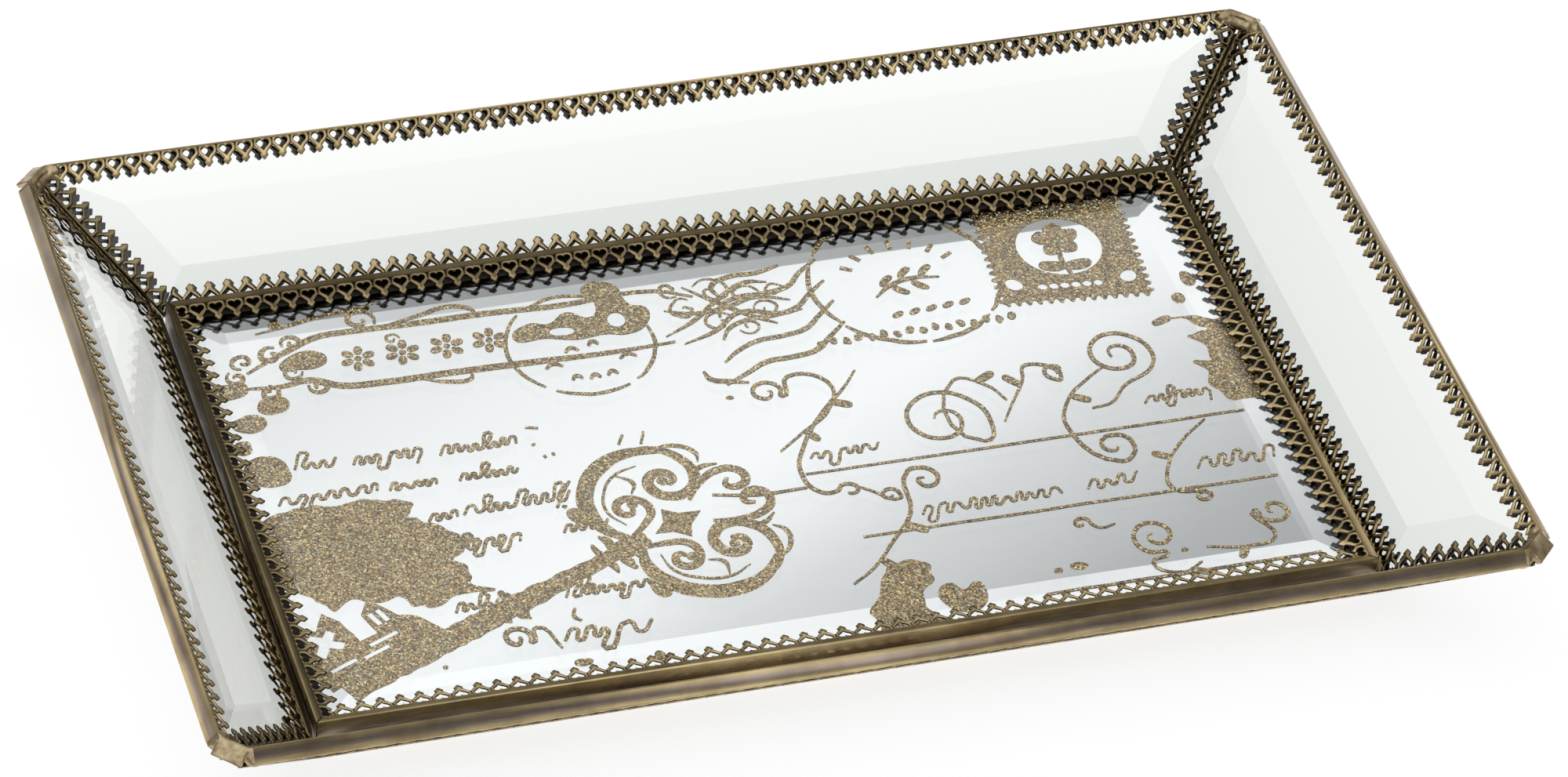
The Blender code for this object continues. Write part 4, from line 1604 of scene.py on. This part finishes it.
    def address(self) -> bpy.types.Object:
        """Draws three ruled lines of pen scrolls, leaves and ripples on the right."""
        pen = Pen(self.level)
        for start, end, y in ((7, 133, -15.5), (15, 133, -42.8), (56, 134, -74.3)):
            steps = 14
            line = [(start + (end - start) * i / steps, y) for i in range(steps + 1)]
            pen.stroke(self.wobble(line, 0.12), 0.95, 0.9)
        scrolls = (
            ((6, 19), (1.2, 5.0), 40, -430, [(14, 24), (24, 20), (21, 9), (11, 1), (3, -5)], 1.3),
            ((17, -24), (0.8, 3.4), 200, 330, [(9, -23), (6, -14), (10, -4), (19, 8), (28, 17), (33, 23)], 1.3),
            ((50, -2), (2.0, 14.0), 150, -560, [(58, 13), (67, 9), (70, 2)], 1.3),
            ((87, 11), (0.8, 3.6), 260, 380, [(80, 15), (77, 9), (71, 0), (67, -6)], 1.2),
            ((93, -22), (1.0, 6.6), 330, -420, [(83, -12), (87, -1), (95, 6), (101, 10)], 1.3),
            ((106, 14), (1.6, 10.5), 200, -600, [(104, 1), (98, -5), (92, -6)], 1.3),
            ((38, -24), (0.8, 5.2), 90, 400, [(30, -36), (22, -46), (14, -55), (7, -60)], 1.3),
            ((27, -28), (0.6, 3.0), 0, -400, [(22, -25), (18, -22)], 1.1),
            ((110, -46), (0.6, 2.4), 60, 300, [(103, -42), (105, -33), (112, -24), (121, -17)], 1.2),
            ((74, -50), (0.5, 2.6), 0, -380, [(79, -53), (83, -52)], 1.0),
            ((92, -59), (1.2, 7.4), 120, 520, [(88, -69), (95, -74), (101, -71)], 1.3),
            ((127, -56), (0.8, 5.4), 250, -440, [(124, -66), (115, -68), (104, -66)], 1.3),
        )
        for centre, radii, start, sweep, tail, width in scrolls:
            self.curl(pen, centre, radii, start, sweep, tail, width)
        for root, tip, wide in (
            ((22, 12), (28, 9), 1.3), ((12, 2), (15, -3), 1.2), ((64, 11), (70, 14), 1.3),
            ((76, 7), (72, 12), 1.2), ((88, 0), (93, -3), 1.2), ((27, -40), (33, -44), 1.3),
            ((17, -52), (21, -58), 1.3), ((107, -30), (102, -27), 1.2), ((97, -73), (103, -76), 1.1),
            ((115, -68), (112, -72), 1.2), ((120, 24), (126, 26), 1.3),
        ):
            self.leaf(pen, root, tip, wide)
        for start, length, height in (
            ((10, -10), 20, 3.2), ((107, -7), 22, 2.8), ((33, -38), 40, 3.6), ((80, -37.5), 15, 4.4),
            ((112, -36), 24, 5.2),
        ):
            pen.stroke(self.wobble(self.ripple(start, length, height), 0.12), 1.05, 0.7)
        return self.gilt(pen, "glitter_address")

    def letter(self) -> bpy.types.Object:
        """Draws the short rippled lines on the left, and the larger one below the key."""
        pen = Pen(self.level)
        lines = (
            ((-127, 15), 12, 3.4), ((-111, 14), 19, 3.2), ((-87, 13), 22, 3.2), ((-134, 2.5), 27, 3.2),
            ((-104, 2), 13, 2.8), ((-85, 1.5), 17, 3.0), ((-97, -12), 9, 3.2), ((-87, -11.5), 30, 3.6),
            ((-92, -25), 17, 3.4), ((-63, -24), 13, 3.0), ((-99, -48), 12, 3.2), ((-69, -48.5), 26, 3.2),
        )
        for start, length, height in lines:
            pen.stroke(self.wobble(self.ripple(start, length, height), 0.12), 1.15, 0.7)
        self.curl(pen, (-86, -61), (0.8, 4.6), 30, -420, [(-80, -58), (-75, -67)], 1.5)
        pen.stroke(self.wobble(self.ripple((-74, -65), 25, 4.6), 0.2), 1.4, 0.7)
        for points in (
            [(-62, 19), (-58.5, 18)], [(-62, 11.5), (-61, 12)], [(-60, 7), (-59.5, 6)], [(-57.5, 7.5), (-57, 6.5)],
            [(-68, -53), (-69, -56), (-67.5, -58)], [(-56, -4.5), (-58, -7), (-62, -14)],
            [(-20, -18), (-8, -20.5), (6, -20.6)], [(-39, 7), (-37, 10.5)], [(-33, 6), (-31, 10.6)],
        ):
            pen.stroke(points, 1.2, 0.7)
        return self.gilt(pen, "glitter_letter")

    def build(self) -> None:
        """Draws the whole picture, each part a little above the last."""
        heavy = (self.blots, self.key, self.banner, self.flourish)
        fine = (self.postmark, self.stamp, self.address, self.letter)
        for draw in (*heavy, *fine):
            draw()
            self.level += self.layer


# ------------------------------------------------------------------------------------------- carried-over parts


@dataclass
class PlainParts:
    """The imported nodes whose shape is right, which keep it and get their finish."""

    finishes: Finishes

    def build(self) -> None:
        """Dresses each node."""
        f = self.finishes
        dressed = {f"wall_glass_{side}": f.wall_glass for side in SIDES}
        dressed |= {
            "mirror_glass": f.mirror_glass, "mirror_silvering": f.silver, "glitter_sheet": f.glitter,
            "backing_board": f.board, "felt_underside": f.felt,
        }
        for node, material in dressed.items():
            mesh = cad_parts[node].data
            mesh.materials.clear()
            mesh.materials.append(material)
            log.info("%s: %s", node, material.name)


@dataclass
class Pads:
    """The four round pads under the felt, each with a rolled rim and a shallow dish."""

    finishes: Finishes
    place: Point = (131.0, 70.0)
    radius: float = 5.5
    height: float = 1.9
    dish: float = 0.35

    def pad(self, name: str, x: float, y: float) -> bpy.types.Object:
        """Builds one pad.

        Args:
            name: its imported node.
            x: its middle.
            y: its middle.

        Returns:
            The piece.
        """
        bm = bmesh.new()
        bmesh.ops.create_circle(bm, cap_ends=True, segments=40, radius=self.radius)
        raised = bmesh.ops.extrude_face_region(bm, geom=bm.faces[:], use_keep_orig=True)
        verts = [item for item in raised["geom"] if isinstance(item, bmesh.types.BMVert)]
        bmesh.ops.translate(bm, verts=verts, vec=(0, 0, self.height))
        bmesh.ops.recalc_face_normals(bm, faces=bm.faces)
        foot = next(f for f in bm.faces if len(f.verts) > 4 and f.calc_center_median().z < 0.1)
        bmesh.ops.inset_region(bm, faces=[foot], thickness=self.radius * 0.32)
        bmesh.ops.inset_region(bm, faces=[foot], thickness=self.radius * 0.12)
        bmesh.ops.translate(bm, verts=list(foot.verts), vec=(0, 0, self.dish))
        rims = [e for e in bm.edges if all(abs(v.co.to_2d().length - self.radius) < 1e-3 for v in e.verts)]
        rims = [e for e in rims if abs(e.verts[0].co.z - e.verts[1].co.z) < 1e-6]
        bmesh.ops.bevel(
            bm, geom=rims, offset=0.45, segments=3, profile=0.5, affect="EDGES", material=-1, clamp_overlap=True
        )
        piece = finish_piece(f"foot_{name}", bm, Matrix.Translation((x, y, 0)), [self.finishes.rubber])
        return register(piece, "pad_rubber", name)

    def build(self) -> None:
        """Builds the four pads."""
        x, y = self.place
        for row, ahead in (("front", -y), ("back", y)):
            for column, aside in (("left", -x), ("right", x)):
                self.pad(f"pad_{row}_{column}", aside, ahead)


# ------------------------------------------------------------------------------------------------------ studio


@dataclass
class Studio:
    """A white sweep under soft light, with a grey card above the far edge for the mirror to show."""

    eye: tuple[float, float, float] = (-0.4958, -1.3363, 1.2589)
    aim: tuple[float, float, float] = (0.0066, 0.0063, 0.0211)
    roll: float = radians(5.52)
    lens: float = 160.9

    def camera(self) -> None:
        """Puts the camera in place."""
        data = bpy.data.cameras.new("camera")
        data.lens = self.lens
        data.sensor_width = 36.0
        data.clip_end = 50.0
        made = bpy.data.objects.new("camera", data)
        bpy.context.scene.collection.objects.link(made)
        ahead = (Vector(self.aim) - Vector(self.eye)).normalized()
        level = ahead.cross(UP).normalized()
        over = level.cross(ahead)
        right = level * cos(self.roll) + over * sin(self.roll)
        top = over * cos(self.roll) - level * sin(self.roll)
        made.matrix_world = Matrix.Translation(self.eye) @ Matrix((right, top, -ahead)).transposed().to_4x4()
        bpy.context.scene.camera = made

    def sweep(self) -> None:
        """Lays the pale floor."""
        bm = bmesh.new()
        bmesh.ops.create_grid(bm, x_segments=1, y_segments=1, size=6000.0)
        p = Palette("white_sweep")
        p.shader.inputs["Base Color"].default_value = (0.30, 0.30, 0.30, 1)
        p.shader.inputs["Roughness"].default_value = 1.0
        p.shader.inputs["Emission Color"].default_value = (1.0, 1.0, 1.0, 1)
        p.shader.inputs["Emission Strength"].default_value = 0.81
        floor = finish_piece("white_sweep", bm, Matrix.Translation((0, 0, -0.05)), [p.material])

    def surroundings(self) -> None:
        """Sets the soft white room, and the grey card as a patch of it with a soft lower edge."""
        world = bpy.data.worlds.new("studio")
        bpy.context.scene.world = world
        world.use_nodes = True
        nodes, links = world.node_tree.nodes, world.node_tree.links
        back = nodes["Background"]
        way = nodes.new("ShaderNodeTexCoord").outputs["Generated"]

        def dot(axis: tuple[float, float, float]) -> bpy.types.NodeSocket:
            """How far the direction goes along an axis."""
            made = nodes.new("ShaderNodeVectorMath")
            made.operation = "DOT_PRODUCT"
            links.new(way, made.inputs[0])
            made.inputs[1].default_value = axis
            return made.outputs["Value"]

        def shade(
            value: bpy.types.NodeSocket, low: float, high: float, stops: list[tuple[float, float]]
        ) -> bpy.types.NodeSocket:
            """Grey stops over a stretch of a value."""
            span = nodes.new("ShaderNodeMapRange")
            links.new(value, span.inputs["Value"])
            span.inputs["From Min"].default_value, span.inputs["From Max"].default_value = low, high
            ramp = nodes.new("ShaderNodeValToRGB")
            links.new(span.outputs["Result"], ramp.inputs["Fac"])
            while len(ramp.color_ramp.elements) < len(stops):
                ramp.color_ramp.elements.new(1.0)
            for element, (at, grey) in zip(ramp.color_ramp.elements, stops):
                element.position = at
                element.color = (grey, grey * 1.005, grey * 1.01, 1)
            return ramp.outputs["Color"]

        def blend(
            factor: bpy.types.NodeSocket, first: bpy.types.NodeSocket, second: bpy.types.NodeSocket
        ) -> bpy.types.NodeSocket:
            """Mixes two shades."""
            made = nodes.new("ShaderNodeMix")
            made.data_type = "RGBA"
            links.new(factor, made.inputs[0])
            links.new(first, made.inputs[6])
            links.new(second, made.inputs[7])
            return made.outputs[2]

        slope = (0.474, -0.875, 0.757)
        stops = (
            (-0.10, 1.20), (-0.065, 1.08), (-0.042, 0.90), (-0.015, 1.01), (0.008, 1.05), (0.020, 0.95),
            (0.032, 0.77), (0.046, 0.64), (0.060, 0.50), (0.080, 0.40), (0.110, 0.32), (0.150, 0.36),
        )
        low, high = stops[0][0], stops[-1][0]
        card = shade(dot(slope), low, high, [((at - low) / (high - low), grey) for at, grey in stops])
        room = shade(dot((0.0, 0.0, 1.0)), 0.0, 1.0, [
            (0.0, 0.18), (0.28, 0.26), (0.46, 0.50), (0.62, 0.92), (0.8, 1.05), (1.0, 0.95),
        ])
        patch = Vector((0.28, 0.50, 0.82)).normalized()
        inside = shade(dot(tuple(patch)), 0.84, 0.91, [(0.0, 0.0), (1.0, 1.0)])
        links.new(blend(inside, room, card), back.inputs["Color"])
        back.inputs["Strength"].default_value = 1.0

    def build(self) -> None:
        """Sets up the room."""
        self.camera()
        self.sweep()
        self.surroundings()
        bpy.context.scene.view_settings.view_transform = "Standard"


def main() -> None:
    """Builds the tray's looks in order."""
    logging.basicConfig(level=logging.INFO, format="%(message)s")
    Studio().build()
    finishes = Finishes()
    PlainParts(finishes).build()
    Pads(finishes).build()
    BrassWork(finishes).build()
    SolderWork(finishes).build()
    GlitterPicture(finishes).build()


if __name__ == "__main__":
    main()
